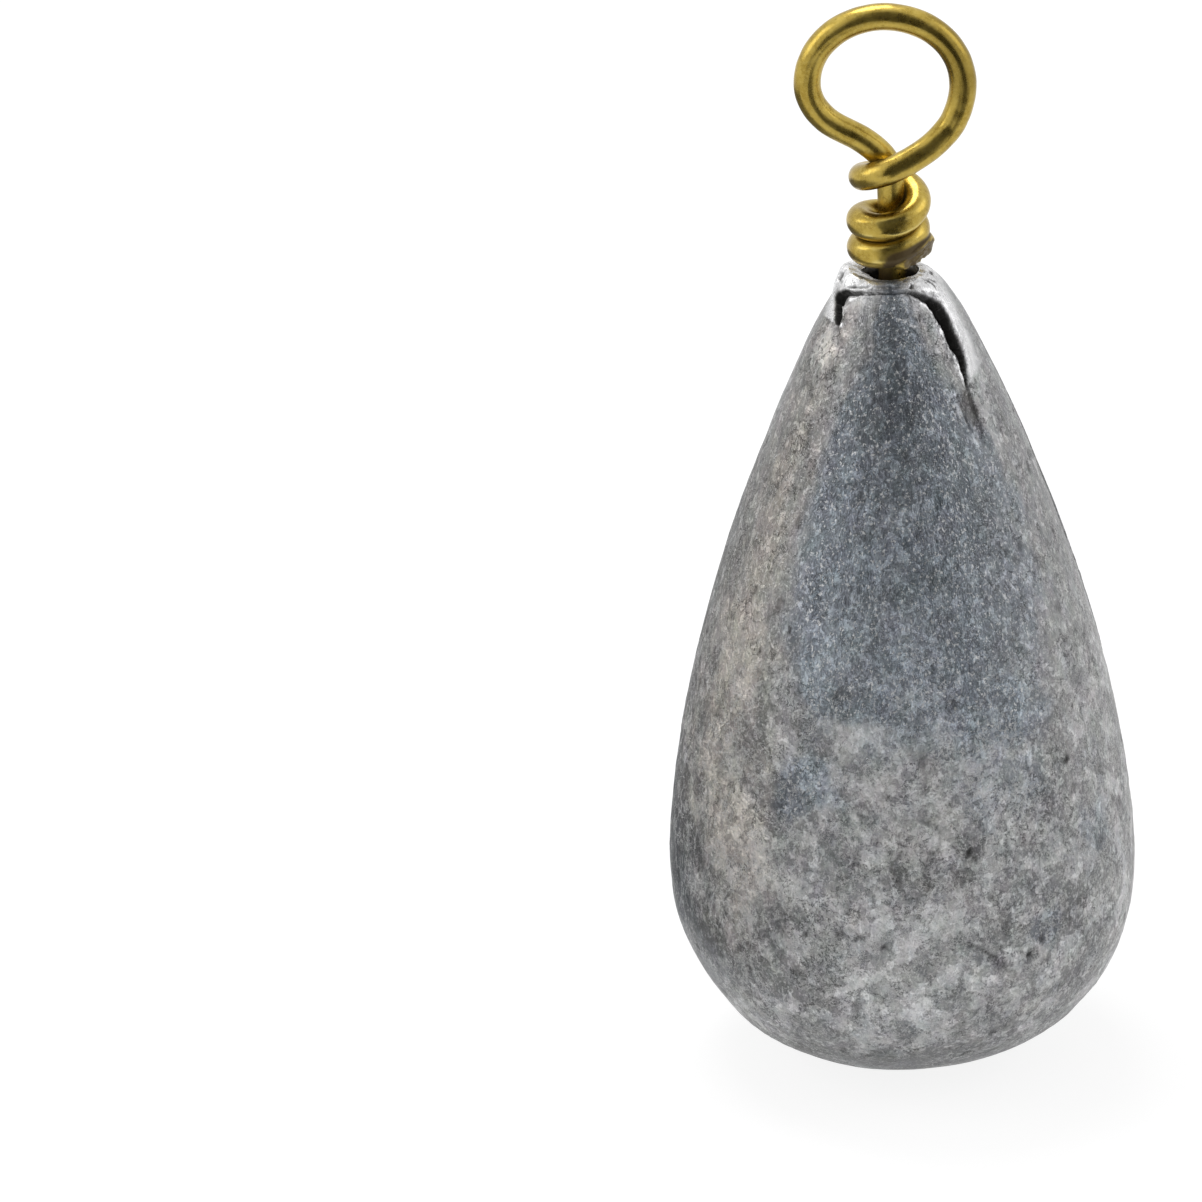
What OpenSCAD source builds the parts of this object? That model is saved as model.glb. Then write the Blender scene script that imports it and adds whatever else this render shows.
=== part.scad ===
// Swivel-eye casting sinker: a teardrop of lead, a brass barrel held in its tip, and an eye of brass
// wire that turns in the barrel.
// Millimetres. The origin is the middle of the base, +Z runs up to the eye, and -Y is the front.

/* [Lead] */
// Greatest diameter of the lead
lead_d = 23.2; // [19:0.1:30]
// Height of the lead, from its base to its lip
lead_h = 41.7; // [35:0.1:54]
// Height of the greatest diameter above the base
bowl_h = 10.2; // [8:0.1:14]
// Diameter of the flat that the lead stands on
foot_d = 6.4; // [5:0.1:9]
// Width of the lip round the mouth
lip_w = 1.1; // [0.9:0.05:1.6]
// Radius of the lip's outer edge
lip_round = 0.45; // [0.3:0.01:0.55]
// Radius of the lip's inner edge
mouth_round = 0.25; // [0.15:0.01:0.3]
// Widening of the mouth over the throat, each side
mouth_flare = 0.52; // [0.4:0.01:0.8]
// Depth of the flared mouth
mouth_depth = 2.0; // [1.6:0.05:2.4]

/* [Tip marks] */
// Distance of the folded panel's top edge below the lip
fold_drop = 0.32; // [0.25:0.01:0.45]
// Height of the folded panel on the front
fold_h = 3.6; // [2:0.1:6]
// Depth of the panel's top edge in the lead
fold_depth = 0.22; // [0.1:0.01:0.3]
// Length of the seam that runs down from the lip
seam_l = 8.2; // [4:0.1:12]
// Width of the seam
seam_w = 0.32; // [0.2:0.01:0.5]
// Depth of the seam at its top
seam_depth = 0.34; // [0.2:0.01:0.45]
// Width of the round tool dimple at the back
dimple_d = 1.9; // [1.2:0.1:2.6]
// Depth of the dimple
dimple_depth = 0.32; // [0.15:0.01:0.4]
// Distance of the dimple's middle below the lip
dimple_drop = 3.0; // [2.5:0.1:6]

/* [Barrel] */
// Wall of the neck round the wire
neck_wall = 0.23; // [0.18:0.01:0.35]
// Length of the neck
neck_l = 3.2; // [2.8:0.1:4]
// Distance of the neck's end below the lip when the eye is pushed in
neck_sunk = 1.15; // [0.8:0.05:1.4]
// Bevel round the end of the neck
neck_bevel = 0.12; // [0.05:0.01:0.15]
// Wall of the barrel round the wire's head
barrel_wall = 0.5; // [0.35:0.01:0.7]
// Thickness of the barrel's closed end
barrel_floor = 1.3; // [0.8:0.1:2]
// Bevel round the barrel's closed end
barrel_bevel = 0.3; // [0.1:0.01:0.4]

/* [Eye wire] */
// Diameter of the wire
wire_d = 1.35; // [1.1:0.01:1.6]
// Overhang of the upset head round the wire
head_lip = 0.55; // [0.4:0.01:0.7]
// Thickness of the head
head_t = 1.0; // [0.7:0.05:1.4]
// Bevel round the head
head_bevel = 0.2; // [0.1:0.01:0.3]
// Outer width of the eye
eye_w = 9.16; // [8:0.02:11]
// Height of the eye's top over its widest place, between wire centres
eye_crown = 3.66; // [3:0.05:4.5]
// Sideways set of the eye's middle from the axis
eye_set = -0.24; // [-0.4:0.02:0]
// Number of wraps round the shank, from the front crossing to the straight tail
wraps = 2.52; // [2.5:0.01:2.6]

/* [Play] */
// Radial clearance of the wire in the neck
wire_clear = 0.05; // [0.02:0.01:0.09]
// Radial clearance of the barrel in the lead
barrel_clear = 0.05; // [0.02:0.01:0.09]
// Radial clearance of the head in its chamber
head_clear = 0.12; // [0.05:0.01:0.2]
// End play of the head in its chamber, above and below
head_play = 0.1; // [0.05:0.01:0.15]
// Gap between the barrel's closed end and the floor of its socket
seat_gap = 0.05; // [0.02:0.01:0.1]
// Distance that the barrel draws out of the lead
draw_travel = 1.3; // [1:0.05:1.5]
// Gap left at the end of that travel
draw_stop_gap = 0.1; // [0.05:0.01:0.2]
// Gap between neighbouring wraps, and between the wraps and the shank
wrap_gap = 0.44; // [0.42:0.01:0.5]
// Gap between the wire's tail and the lip when the eye is pushed in
tail_gap = 0.33; // [0.3:0.01:0.5]

/* [Hidden] */
$fn = 96;

// Overrun of every cut
over = 1.0;

// Radii and heights of the wire and of its head
wire_r = wire_d / 2;
head_r = wire_r + head_lip;

// The barrel, from the end of its neck down
neck_bore_r = wire_r + wire_clear;
neck_r = neck_bore_r + neck_wall;
chamber_r = head_r + head_clear;
barrel_r = chamber_r + barrel_wall;
chamber_h = head_t + 2 * head_play;
neck_top_z = lead_h - neck_sunk;
shoulder_z = neck_top_z - neck_l;
chamber_top_z = shoulder_z - (barrel_r - neck_r);
chamber_base_z = chamber_top_z - chamber_h;
barrel_base_z = chamber_base_z - barrel_floor;

// The socket in the lead, which follows the barrel
throat_r = neck_r + barrel_clear;
socket_r = barrel_r + barrel_clear;
socket_floor_z = barrel_base_z - seat_gap;
throat_base_z = shoulder_z - barrel_clear + draw_travel + draw_stop_gap;
throat_top_z = lead_h - mouth_depth;
mouth_r = throat_r + mouth_flare;

// The outside of the lead: a bowl that is part of a superellipse, then a cone with a curved side
lead_r = lead_d / 2;
foot_r = foot_d / 2;
tip_r = mouth_r + lip_w;
bowl_power = 2.35;
cone_power = 1.65;
bowl_steps = 14;
cone_steps = 16;
lip_steps = 5;
foot_angle = acos(pow(foot_r / lead_r, bowl_power / 2));
bowl_reach = bowl_h / pow(sin(foot_angle), 2 / bowl_power);
tip_angle = atan((lead_r - tip_r) * cone_power / (lead_h - bowl_h));
cone_top_z = lead_h - lip_round * (1 - sin(tip_angle));
cone_h = cone_top_z - bowl_h;
lip_middle_r = tip_r - lip_round * cos(tip_angle);

// Radius of the cone at a height
function cone_r(z) = lead_r - (lead_r - tip_r) * pow((z - bowl_h) / cone_h, cone_power);

// Points of an arc about a centre, from one angle to another
function arc(middle, radius, from, to, steps) = [
    for (i = [0 : steps])
        let (a = from + (to - from) * i / steps)
        middle + radius * [cos(a), sin(a)]
];

// The bowl from the foot to the greatest diameter, then the cone up to the lip
bowl_side = [
    for (i = [0 : bowl_steps])
        let (a = foot_angle * (1 - i / bowl_steps))
        [lead_r * pow(cos(a), 2 / bowl_power), bowl_h - bowl_reach * pow(sin(a), 2 / bowl_power)]
];
cone_side = [
    for (i = [1 : cone_steps - 1])
        let (z = bowl_h + cone_h * i / cone_steps)
        [cone_r(z), z]
];
outer_lip = arc([lip_middle_r, lead_h - lip_round], lip_round, tip_angle, 90, lip_steps);
inner_lip = arc([mouth_r + mouth_round, lead_h - mouth_round], mouth_round, 90, 180, lip_steps);

// Directions of the folded panel's sides round the lead, from the front and positive to the right
front = -90;
fold_left = -52;
fold_right = 46;
// The slit at the panel's left side, in shares of the panel's height
slit_l_share = 0.35;
slit_drop_share = 0.17;

// The wraps, from the wire's straight tail up to the crossing on the front. The first wrap starts
// wide and steep, and both fade within its first half
wrap_r = wire_d + wrap_gap;
wrap_pitch = wire_d + wrap_gap;
tail_l = wire_d;
tail_z = lead_h + tail_gap + wire_r;
wraps_base_z = tail_z + wrap_pitch * tail_l / (2 * PI * wrap_r);
crossing_lift_share = 0.36;
crossing_fade = 3;
crossing_swell_share = 0.14;
swell_fade = 2;
crossing_z = wraps_base_z + wrap_pitch * (wraps + crossing_lift_share);
eye_r = (eye_w - wire_d) / 2;

// The eye: three quarters of ovals of one width, the upper one and the two below it
left_drop_share = 0.86;
right_drop_share = 1.03;
left_drop = eye_crown * left_drop_share;
right_drop = eye_crown * right_drop_share;
crossing_dip_share = 0.03;
eye_z = crossing_z + right_drop * (1 + crossing_dip_share);
// Angles on the ovals where the legs begin, left and right
eye_from = 235;
eye_to = -50;
// How far the right leg has come forward there, as a share of the wraps' radius
eye_depth_share = 0.6;

// The bend from the shank to the left leg, and the shank's exactly round length below it
bend_pull_share = 0.62;
bend_drop_share = 0.62;
bend_z = crossing_z - wire_d * bend_drop_share;
shank_top_z = lead_h + wrap_pitch;
// The swept wire starts inside the turned shank, this much thinner and this far down
sweep_inset = 0.01;
sweep_lap = wire_r;

// Rings along the wire and sides round it
wrap_rings = 24;
eye_rings = 24;
bend_rings = 7;
wire_sides = 8;

// The wraps' radius and a point of them, u turns clockwise from the front crossing
function wrap_r_at(u) = wrap_r * (1 + crossing_swell_share * pow(max(0, 1 - swell_fade * u), 2));
function wrap_point(u) = [
    wrap_r_at(u) * cos(front - 360 * u),
    wrap_r_at(u) * sin(front - 360 * u),
    crossing_z - wrap_pitch * (u + crossing_lift_share * (1 - pow(max(0, 1 - crossing_fade * u), 2)))
];

// Half the height of the oval at an angle seen from the front, and a point of the eye there
function eye_drop_at(a) = a > 180 ? left_drop : a < 0 ? right_drop : eye_crown;
function eye_point(a) = [
    eye_set + eye_r * cos(a),
    -wrap_r * eye_depth_share * pow((eye_from - a) / (eye_from - eye_to), 2),
    eye_z + eye_drop_at(a) * sin(a)
];

// A curve from one point to another with given end tangents
function blend(p, p_way, q, q_way, t) =
    (2 * pow(t, 3) - 3 * pow(t, 2) + 1) * p + (pow(t, 3) - 2 * pow(t, 2) + t) * p_way
    + (3 * pow(t, 2) - 2 * pow(t, 3)) * q + (pow(t, 3) - pow(t, 2)) * q_way;
function unit(v) = v / norm(v);
small_turn = 0.001;
small_angle = 1;

// The wire's middle line above the turned shank
bend_start = [0, 0, bend_z];
bend_end = eye_point(eye_from);
bend_pull = norm(bend_end - bend_start) * 2 * bend_pull_share;
eye_step = (eye_from - eye_to) / eye_rings;
eye_in_way = unit(eye_point(eye_from - small_angle) - bend_end);
cross_start = eye_point(eye_to);
cross_end = wrap_point(0);
cross_pull = norm(cross_end - cross_start);
eye_out_way = unit(cross_start - eye_point(eye_to + small_angle));
wrap_in_way = unit(wrap_point(small_turn) - cross_end);
tail_start = wrap_point(wraps);
tail_way = unit(tail_start - wrap_point(wraps - small_turn));
route = concat(
    [[0, 0, shank_top_z - sweep_lap], [0, 0, (shank_top_z + bend_z) / 2]],
    [
        for (i = [0 : bend_rings - 1])
            blend(bend_start, [0, 0, bend_pull], bend_end, bend_pull * eye_in_way, i / bend_rings)
    ],
    [for (i = [0 : eye_rings - 1]) eye_point(eye_from - eye_step * i)],
    [
        for (i = [0 : bend_rings - 1])
            blend(cross_start, cross_pull * eye_out_way, cross_end, cross_pull * wrap_in_way, i / bend_rings)
    ],
    [for (i = [0 : ceil(wraps * wrap_rings)]) wrap_point(min(i / wrap_rings, wraps))],
    [tail_start + tail_l * tail_way]
);

// The wire's least gap to itself, over points more than three diameters apart along it
shank_l = route[0][2] - neck_top_z;
shank_line = [
    for (i = [0 : wrap_rings - 1])
        [0, 0, neck_top_z + shank_l * i / wrap_rings]
];
wire_line = concat(shank_line, route);
line_end = len(wire_line) - 1;
function step_to(i) = i > line_end ? 0 : norm(wire_line[i] - wire_line[i - 1]);
wire_runs = [
    for (i = 0, run = 0; i <= line_end; i = i + 1, run = run + step_to(i))
        run
];
gaps_apart = 3 * wire_d;
self_gaps = [
    for (i = [0 : line_end - 1])
        for (j = [i + 1 : line_end])
            if (wire_runs[j] - wire_runs[i] > gaps_apart)
                norm(wire_line[j] - wire_line[i]) - wire_d
];
echo(least_gap_of_the_wire_to_itself = min(self_gaps));

// A direction square to a line's way, kept as near as can be to the last one
function squared(n, way) = way == undef ? n : unit(n - (n * way) * way);

// A closed round tube along a list of points, all of triangles. Its first way is square to Y
module tube(points, radius, sides) {
    last = len(points) - 1;
    ways = [for (i = [0 : last]) unit(points[min(i + 1, last)] - points[max(i - 1, 0)])];
    outs = [
        for (i = 0, n = [0, 1, 0]; i <= last; i = i + 1, n = squared(n, ways[i]))
            n
    ];
    rings = [
        for (i = [0 : last])
            for (k = [0 : sides - 1])
                let (a = 360 * k / sides)
                points[i] + radius * (cos(a) * outs[i] + sin(a) * cross(ways[i], outs[i]))
    ];
    walls = [
        for (i = [0 : last - 1])
            for (k = [0 : sides - 1])
                let (a = i * sides + k)
                let (b = i * sides + (k + 1) % sides)
                each [[a, a + sides, b], [b, a + sides, b + sides]]
    ];
    caps = [
        for (k = [1 : sides - 2])
            each [[0, k, k + 1], [last * sides, last * sides + k + 1, last * sides + k]]
    ];
    polyhedron(rings, concat(walls, caps));
}

module lead_body() {
    color([0.56, 0.57, 0.59])
    difference() {
        rotate_extrude()
        polygon(concat(
            [[0, 0]],
            bowl_side,
            cone_side,
            outer_lip,
            inner_lip,
            [
                [throat_r, throat_top_z],
                [throat_r, throat_base_z],
                [socket_r, throat_base_z - (socket_r - throat_r)],
                [socket_r, socket_floor_z],
                [0, socket_floor_z]
            ]
        ));
        tip_fold();
        meridian_cut(fold_right, fold_drop, seam_l, seam_w, seam_depth);
        meridian_cut(fold_left, fold_h * slit_drop_share, fold_h * slit_l_share, seam_w, fold_depth);
        back_dimple();
    }
}

// A panel on the front, sunk under the lip and running out into the cone below
module tip_fold() {
    top_z = lead_h - fold_drop;
    base_z = top_z - fold_h;
    rotate([0, 0, front + fold_left])
    rotate_extrude(angle = fold_right - fold_left)
    polygon([
        [cone_r(top_z) - fold_depth, top_z],
        [cone_r(top_z) + over, top_z],
        [cone_r(base_z) + over, base_z],
        [cone_r(base_z), base_z]
    ]);
}

// A narrow cut down the side of the cone that fades to nothing
module meridian_cut(direction, drop, length, width, depth) {
    top_z = lead_h - drop;
    base_z = top_z - length;
    rotate([0, 0, front + direction])
    rotate([90, 0, 0])
    linear_extrude(width, center = true)
    polygon([
        [cone_r(top_z) - depth, top_z],
        [cone_r(top_z) + over, top_z],
        [cone_r(base_z) + over, base_z],
        [cone_r(base_z), base_z]
    ]);
}

// A shallow round mark left by a rounded tool
module back_dimple() {
    ball_r = (pow(dimple_d / 2, 2) + pow(dimple_depth, 2)) / (2 * dimple_depth);
    z = lead_h - dimple_drop;
    translate([0, cone_r(z), z])
    rotate([90 + tip_angle, 0, 0])
    translate([0, 0, dimple_depth - ball_r])
    sphere(ball_r);
}

module swivel_barrel() {
    color([0.72, 0.57, 0.22])
    rotate_extrude()
    polygon([
        [0, barrel_base_z],
        [barrel_r - barrel_bevel, barrel_base_z],
        [barrel_r, barrel_base_z + barrel_bevel],
        [barrel_r, chamber_top_z],
        [neck_r, shoulder_z],
        [neck_r, neck_top_z - neck_bevel],
        [neck_r - neck_bevel, neck_top_z],
        [neck_bore_r, neck_top_z],
        [neck_bore_r, chamber_top_z],
        [chamber_r, chamber_top_z],
        [chamber_r, chamber_base_z],
        [0, chamber_base_z]
    ]);
}

module eye_wire() {
    head_base_z = chamber_base_z + head_play;
    head_top_z = head_base_z + head_t;
    color([0.80, 0.64, 0.26])
    union() {
        rotate_extrude()
        polygon([
            [0, head_base_z],
            [head_r - head_bevel, head_base_z],
            [head_r, head_base_z + head_bevel],
            [head_r, head_top_z],
            [wire_r, head_top_z],
            [wire_r, shank_top_z],
            [0, shank_top_z]
        ]);
        tube(route, wire_r - sweep_inset, wire_sides);
    }
}

lead_body();
swivel_barrel();
eye_wire();
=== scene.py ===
import math
from itertools import product

import bpy
import numpy as np
from mathutils import Matrix, Vector


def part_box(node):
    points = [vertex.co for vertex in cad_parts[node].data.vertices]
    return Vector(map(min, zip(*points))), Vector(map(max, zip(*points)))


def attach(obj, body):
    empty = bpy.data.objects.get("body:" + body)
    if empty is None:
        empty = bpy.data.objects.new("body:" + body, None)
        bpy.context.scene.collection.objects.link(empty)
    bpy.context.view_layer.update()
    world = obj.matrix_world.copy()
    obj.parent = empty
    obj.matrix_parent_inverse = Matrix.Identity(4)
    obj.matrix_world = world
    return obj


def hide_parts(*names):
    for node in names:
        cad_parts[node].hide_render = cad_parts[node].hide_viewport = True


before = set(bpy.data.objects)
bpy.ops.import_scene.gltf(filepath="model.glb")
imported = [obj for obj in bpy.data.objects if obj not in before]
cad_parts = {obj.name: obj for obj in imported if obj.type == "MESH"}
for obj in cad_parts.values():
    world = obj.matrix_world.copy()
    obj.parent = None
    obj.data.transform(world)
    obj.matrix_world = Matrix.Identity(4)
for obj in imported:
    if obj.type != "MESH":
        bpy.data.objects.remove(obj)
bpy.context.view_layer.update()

# All sizes are in millimetres, and meshes are scaled to metres when they are made.
# Azimuths are in degrees from the front, -Y, and positive to the right. A drop is a depth below the lip.
MM = 0.001


def corners(name):
    """Lowest and highest corner of a solid, in millimetres."""
    return [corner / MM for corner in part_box(name)]


lead_low, lead_high = corners("lead_body")
barrel_low, barrel_high = corners("swivel_barrel")
wire_low, _ = corners("eye_wire")

# The lead's outside: a bowl that is part of a superellipse, then a cone with a curved side
LEAD_R = (lead_high.y - lead_low.y) / 2
LIP_Z = lead_high.z
BOWL_Z = 10.2
FOOT_R = 3.2
BOWL_POWER = 2.35
CONE_POWER = 1.65
CONE_END_R = 2.62
CONE_END_DROP = 0.26
# The rounded tip above the cone, from a drop up to the crest, and how hard its curve's ends are pulled
TIP_DROP = 3.9
TIP_PULL = 1.8
CREST_R = 1.65
CREST_PULL = (0.85, -0.32)
# The lip's curve into the mouth, and the mouth, whose edge is uneven: azimuth and radius
MOUTH_R = 1.30
MOUTH_RIM = 0.11
MOUTH_DEPTH = 2.0
LIP_PULL = 0.2
RIM_PULL = 0.16
MOUTH_EDGE = [
    (-180, 1.30),
    (-130, 1.40),
    (-100, 1.75),
    (-88, 1.60),
    (-76, 1.38),
    (-50, 1.28),
    (-20, 1.14),
    (0, 1.07),
    (20, 1.03),
    (48, 1.05),
    (64, 1.20),
    (80, 1.32),
    (110, 1.34),
    (180, 1.30),
]
# Where the lip stands further out and higher on one side, and by how much
SWELL_AZIMUTH = -95
SWELL_SPREAD = 52
SWELL_DROP = 1.5
LIP_SWELL = 0.75
LIP_RISE = 0.2
# The socket round the barrel
CLEAR = 0.05
BARREL_R = barrel_high.x
NECK_R = 0.955
THROAT_R = NECK_R + CLEAR
THROAT_DROP = 3.0
SOCKET_R = BARREL_R + CLEAR
SOCKET_FLOOR = barrel_low.z - CLEAR

# The brass wire
WIRE_R = 0.675
HEAD_R = 1.225
HEAD_T = 1.0
HEAD_BEVEL = 0.2


# Repeatable noise in space

def lattice(x, y, z, seed):
    """Repeatable random numbers from -1 to 1 at whole-number places."""
    n = x * 73856093 ^ y * 19349663 ^ z * 83492791 ^ (seed + 1) * 26544357
    n = (n ^ (n >> 13)) & 0x7FFFFFFF
    n = (n * (n * n * 15731 + 789221) + 1376312589) & 0x7FFFFFFF
    return 1 - n / 0x3FFFFFFF


def noise(points, size, seed):
    """Smooth noise from -1 to 1 whose lumps have the given size, one number or one for each axis."""
    scaled = points / np.array(size) + seed * 17.3
    cell = np.floor(scaled).astype(np.int64)
    share = scaled - cell
    share = share * share * (3 - 2 * share)
    total = 0
    for corner in product((0, 1), repeat=3):
        weight = np.prod(np.where(corner, share, 1 - share), axis=-1)
        total = total + weight * lattice(*np.moveaxis(cell + np.array(corner), -1, 0), seed)
    return total


def hump(distance, width):
    """1 at no distance, falling smoothly to 0."""
    return np.exp(-((distance / width) ** 2))


def ramp(value, low, high):
    """0 below low, 1 above high and smooth between them."""
    share = np.clip((value - low) / (high - low), 0, 1)
    return share * share * (3 - 2 * share)


def unit(vectors, least=1e-9):
    """Vectors, one in a row, divided by their lengths, or by least if that is more."""
    return vectors / np.maximum(np.linalg.norm(vectors, axis=-1), least)[:, None]


def smooth_line(points, steps):
    """A curve through points, with every column eased alike."""
    p = np.array(points, float)
    p = np.vstack([2 * p[0] - p[1], p, 2 * p[-1] - p[-2]])
    t = np.linspace(0, 1, steps, endpoint=False)[:, None]
    runs = [
        b + 0.5 * t * (c - a + t * (2 * a - 5 * b + 4 * c - d + t * (3 * (b - c) + d - a)))
        for a, b, c, d in zip(p, p[1:], p[2:], p[3:])
    ]
    return np.vstack(runs + [p[-2:-1]])


def bezier(a, b, c, d, steps):
    """Points of a cubic curve from a to d that heads for b and comes in from c."""
    a, b, c, d = (np.array(q, float) for q in (a, b, c, d))
    t = np.linspace(0, 1, steps)[:, None]
    return (1 - t) ** 3 * a + 3 * t * (1 - t) ** 2 * b + 3 * t * t * (1 - t) * c + t ** 3 * d


# Meshes

def new_tube(name, points, poles, values):
    """A smooth closed tube of rings of points in millimetres, whose ends are fans round two poles.

    Each named value is given for the rings, alike or point by point, and for the first and last pole.
    """
    rings, sides = points.shape[:2]
    total = rings * sides
    last = total - sides
    faces = []
    for a in range(0, last, sides):
        for j in range(sides):
            k = (j + 1) % sides
            faces.append((a + j, a + k, a + sides + k, a + sides + j))
    for j in range(sides):
        k = (j + 1) % sides
        faces.append((total, k, j))
        faces.append((total + 1, last + j, last + k))
    mesh = bpy.data.meshes.new(name)
    mesh.from_pydata((np.vstack([points.reshape(-1, 3), poles]) * MM).tolist(), [], faces)
    mesh.polygons.foreach_set("use_smooth", [True] * len(mesh.polygons))
    for key, (value, first_end, last_end) in values.items():
        attribute = mesh.attributes.new(key, "FLOAT", "POINT")
        spread = np.append(np.broadcast_to(value, (rings, sides)), [first_end, last_end])
        attribute.data.foreach_set("value", spread.astype(np.float32))
    mesh.update()
    piece = bpy.data.objects.new(name, mesh)
    bpy.context.scene.collection.objects.link(piece)
    return piece


# The lead

LEAD_SIDES = 512
# Steps between rings near the tip, lower down and inside, and the drop where the fine steps end
TIP_STEP = 0.05
BODY_STEP = 0.13
INNER_STEP = 0.3
FINE_DROP = 9.0


def cone_r(z):
    share = (z - BOWL_Z) / (LIP_Z - CONE_END_DROP - BOWL_Z)
    return LEAD_R - (LEAD_R - CONE_END_R) * share ** CONE_POWER


def lead_profile():
    """The lead's outline as radius and height, from the middle of the base to the socket's floor."""
    power = 2 / BOWL_POWER
    foot_angle = math.acos((FOOT_R / LEAD_R) ** (1 / power))
    reach = BOWL_Z / math.sin(foot_angle) ** power
    angles = np.linspace(foot_angle, 0, 200)
    bowl = np.column_stack([LEAD_R * np.cos(angles) ** power, BOWL_Z - reach * np.sin(angles) ** power])
    heights = np.linspace(BOWL_Z, LIP_Z - TIP_DROP, 400)
    cone = np.column_stack([cone_r(heights), heights])
    way = (cone[-1] - cone[-2]) / np.linalg.norm(cone[-1] - cone[-2])
    crest = np.array([CREST_R, LIP_Z])
    tip = bezier(cone[-1], cone[-1] + TIP_PULL * way, crest + CREST_PULL, crest, 60)
    inner = np.array([MOUTH_R, LIP_Z - MOUTH_RIM])
    lip = bezier(crest, crest - (LIP_PULL, 0), inner + (0, RIM_PULL), inner, 20)
    throat = [THROAT_R, LIP_Z - MOUTH_DEPTH]
    socket = np.array([
        throat,
        [THROAT_R, LIP_Z - THROAT_DROP],
        [SOCKET_R, LIP_Z - THROAT_DROP - (SOCKET_R - THROAT_R)],
        [SOCKET_R, SOCKET_FLOOR],
        [0, SOCKET_FLOOR],
    ])
    runs = [
        (np.array([[0, 0], [FOOT_R, 0]]), INNER_STEP),
        (bowl, BODY_STEP),
        (cone, None),
        (tip, TIP_STEP),
        (lip, TIP_STEP),
        (np.array([inner, throat]), TIP_STEP),
        (socket, INNER_STEP),
    ]
    counts, points = [0.0], [runs[0][0][0]]
    for line, step in runs:
        for a, b in zip(line, line[1:]):
            length = np.linalg.norm(b - a)
            if length == 0:
                continue
            fine = ramp(b[1], LIP_Z - FINE_DROP - 2, LIP_Z - FINE_DROP)
            size = step or BODY_STEP + (TIP_STEP - BODY_STEP) * fine
            counts.append(counts[-1] + length / size)
            points.append(b)
    counts, points = np.array(counts), np.array(points)
    places = np.linspace(0, counts[-1], int(counts[-1]) + 1)
    return np.column_stack([np.interp(places, counts, points[:, k]) for k in range(2)])


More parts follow.
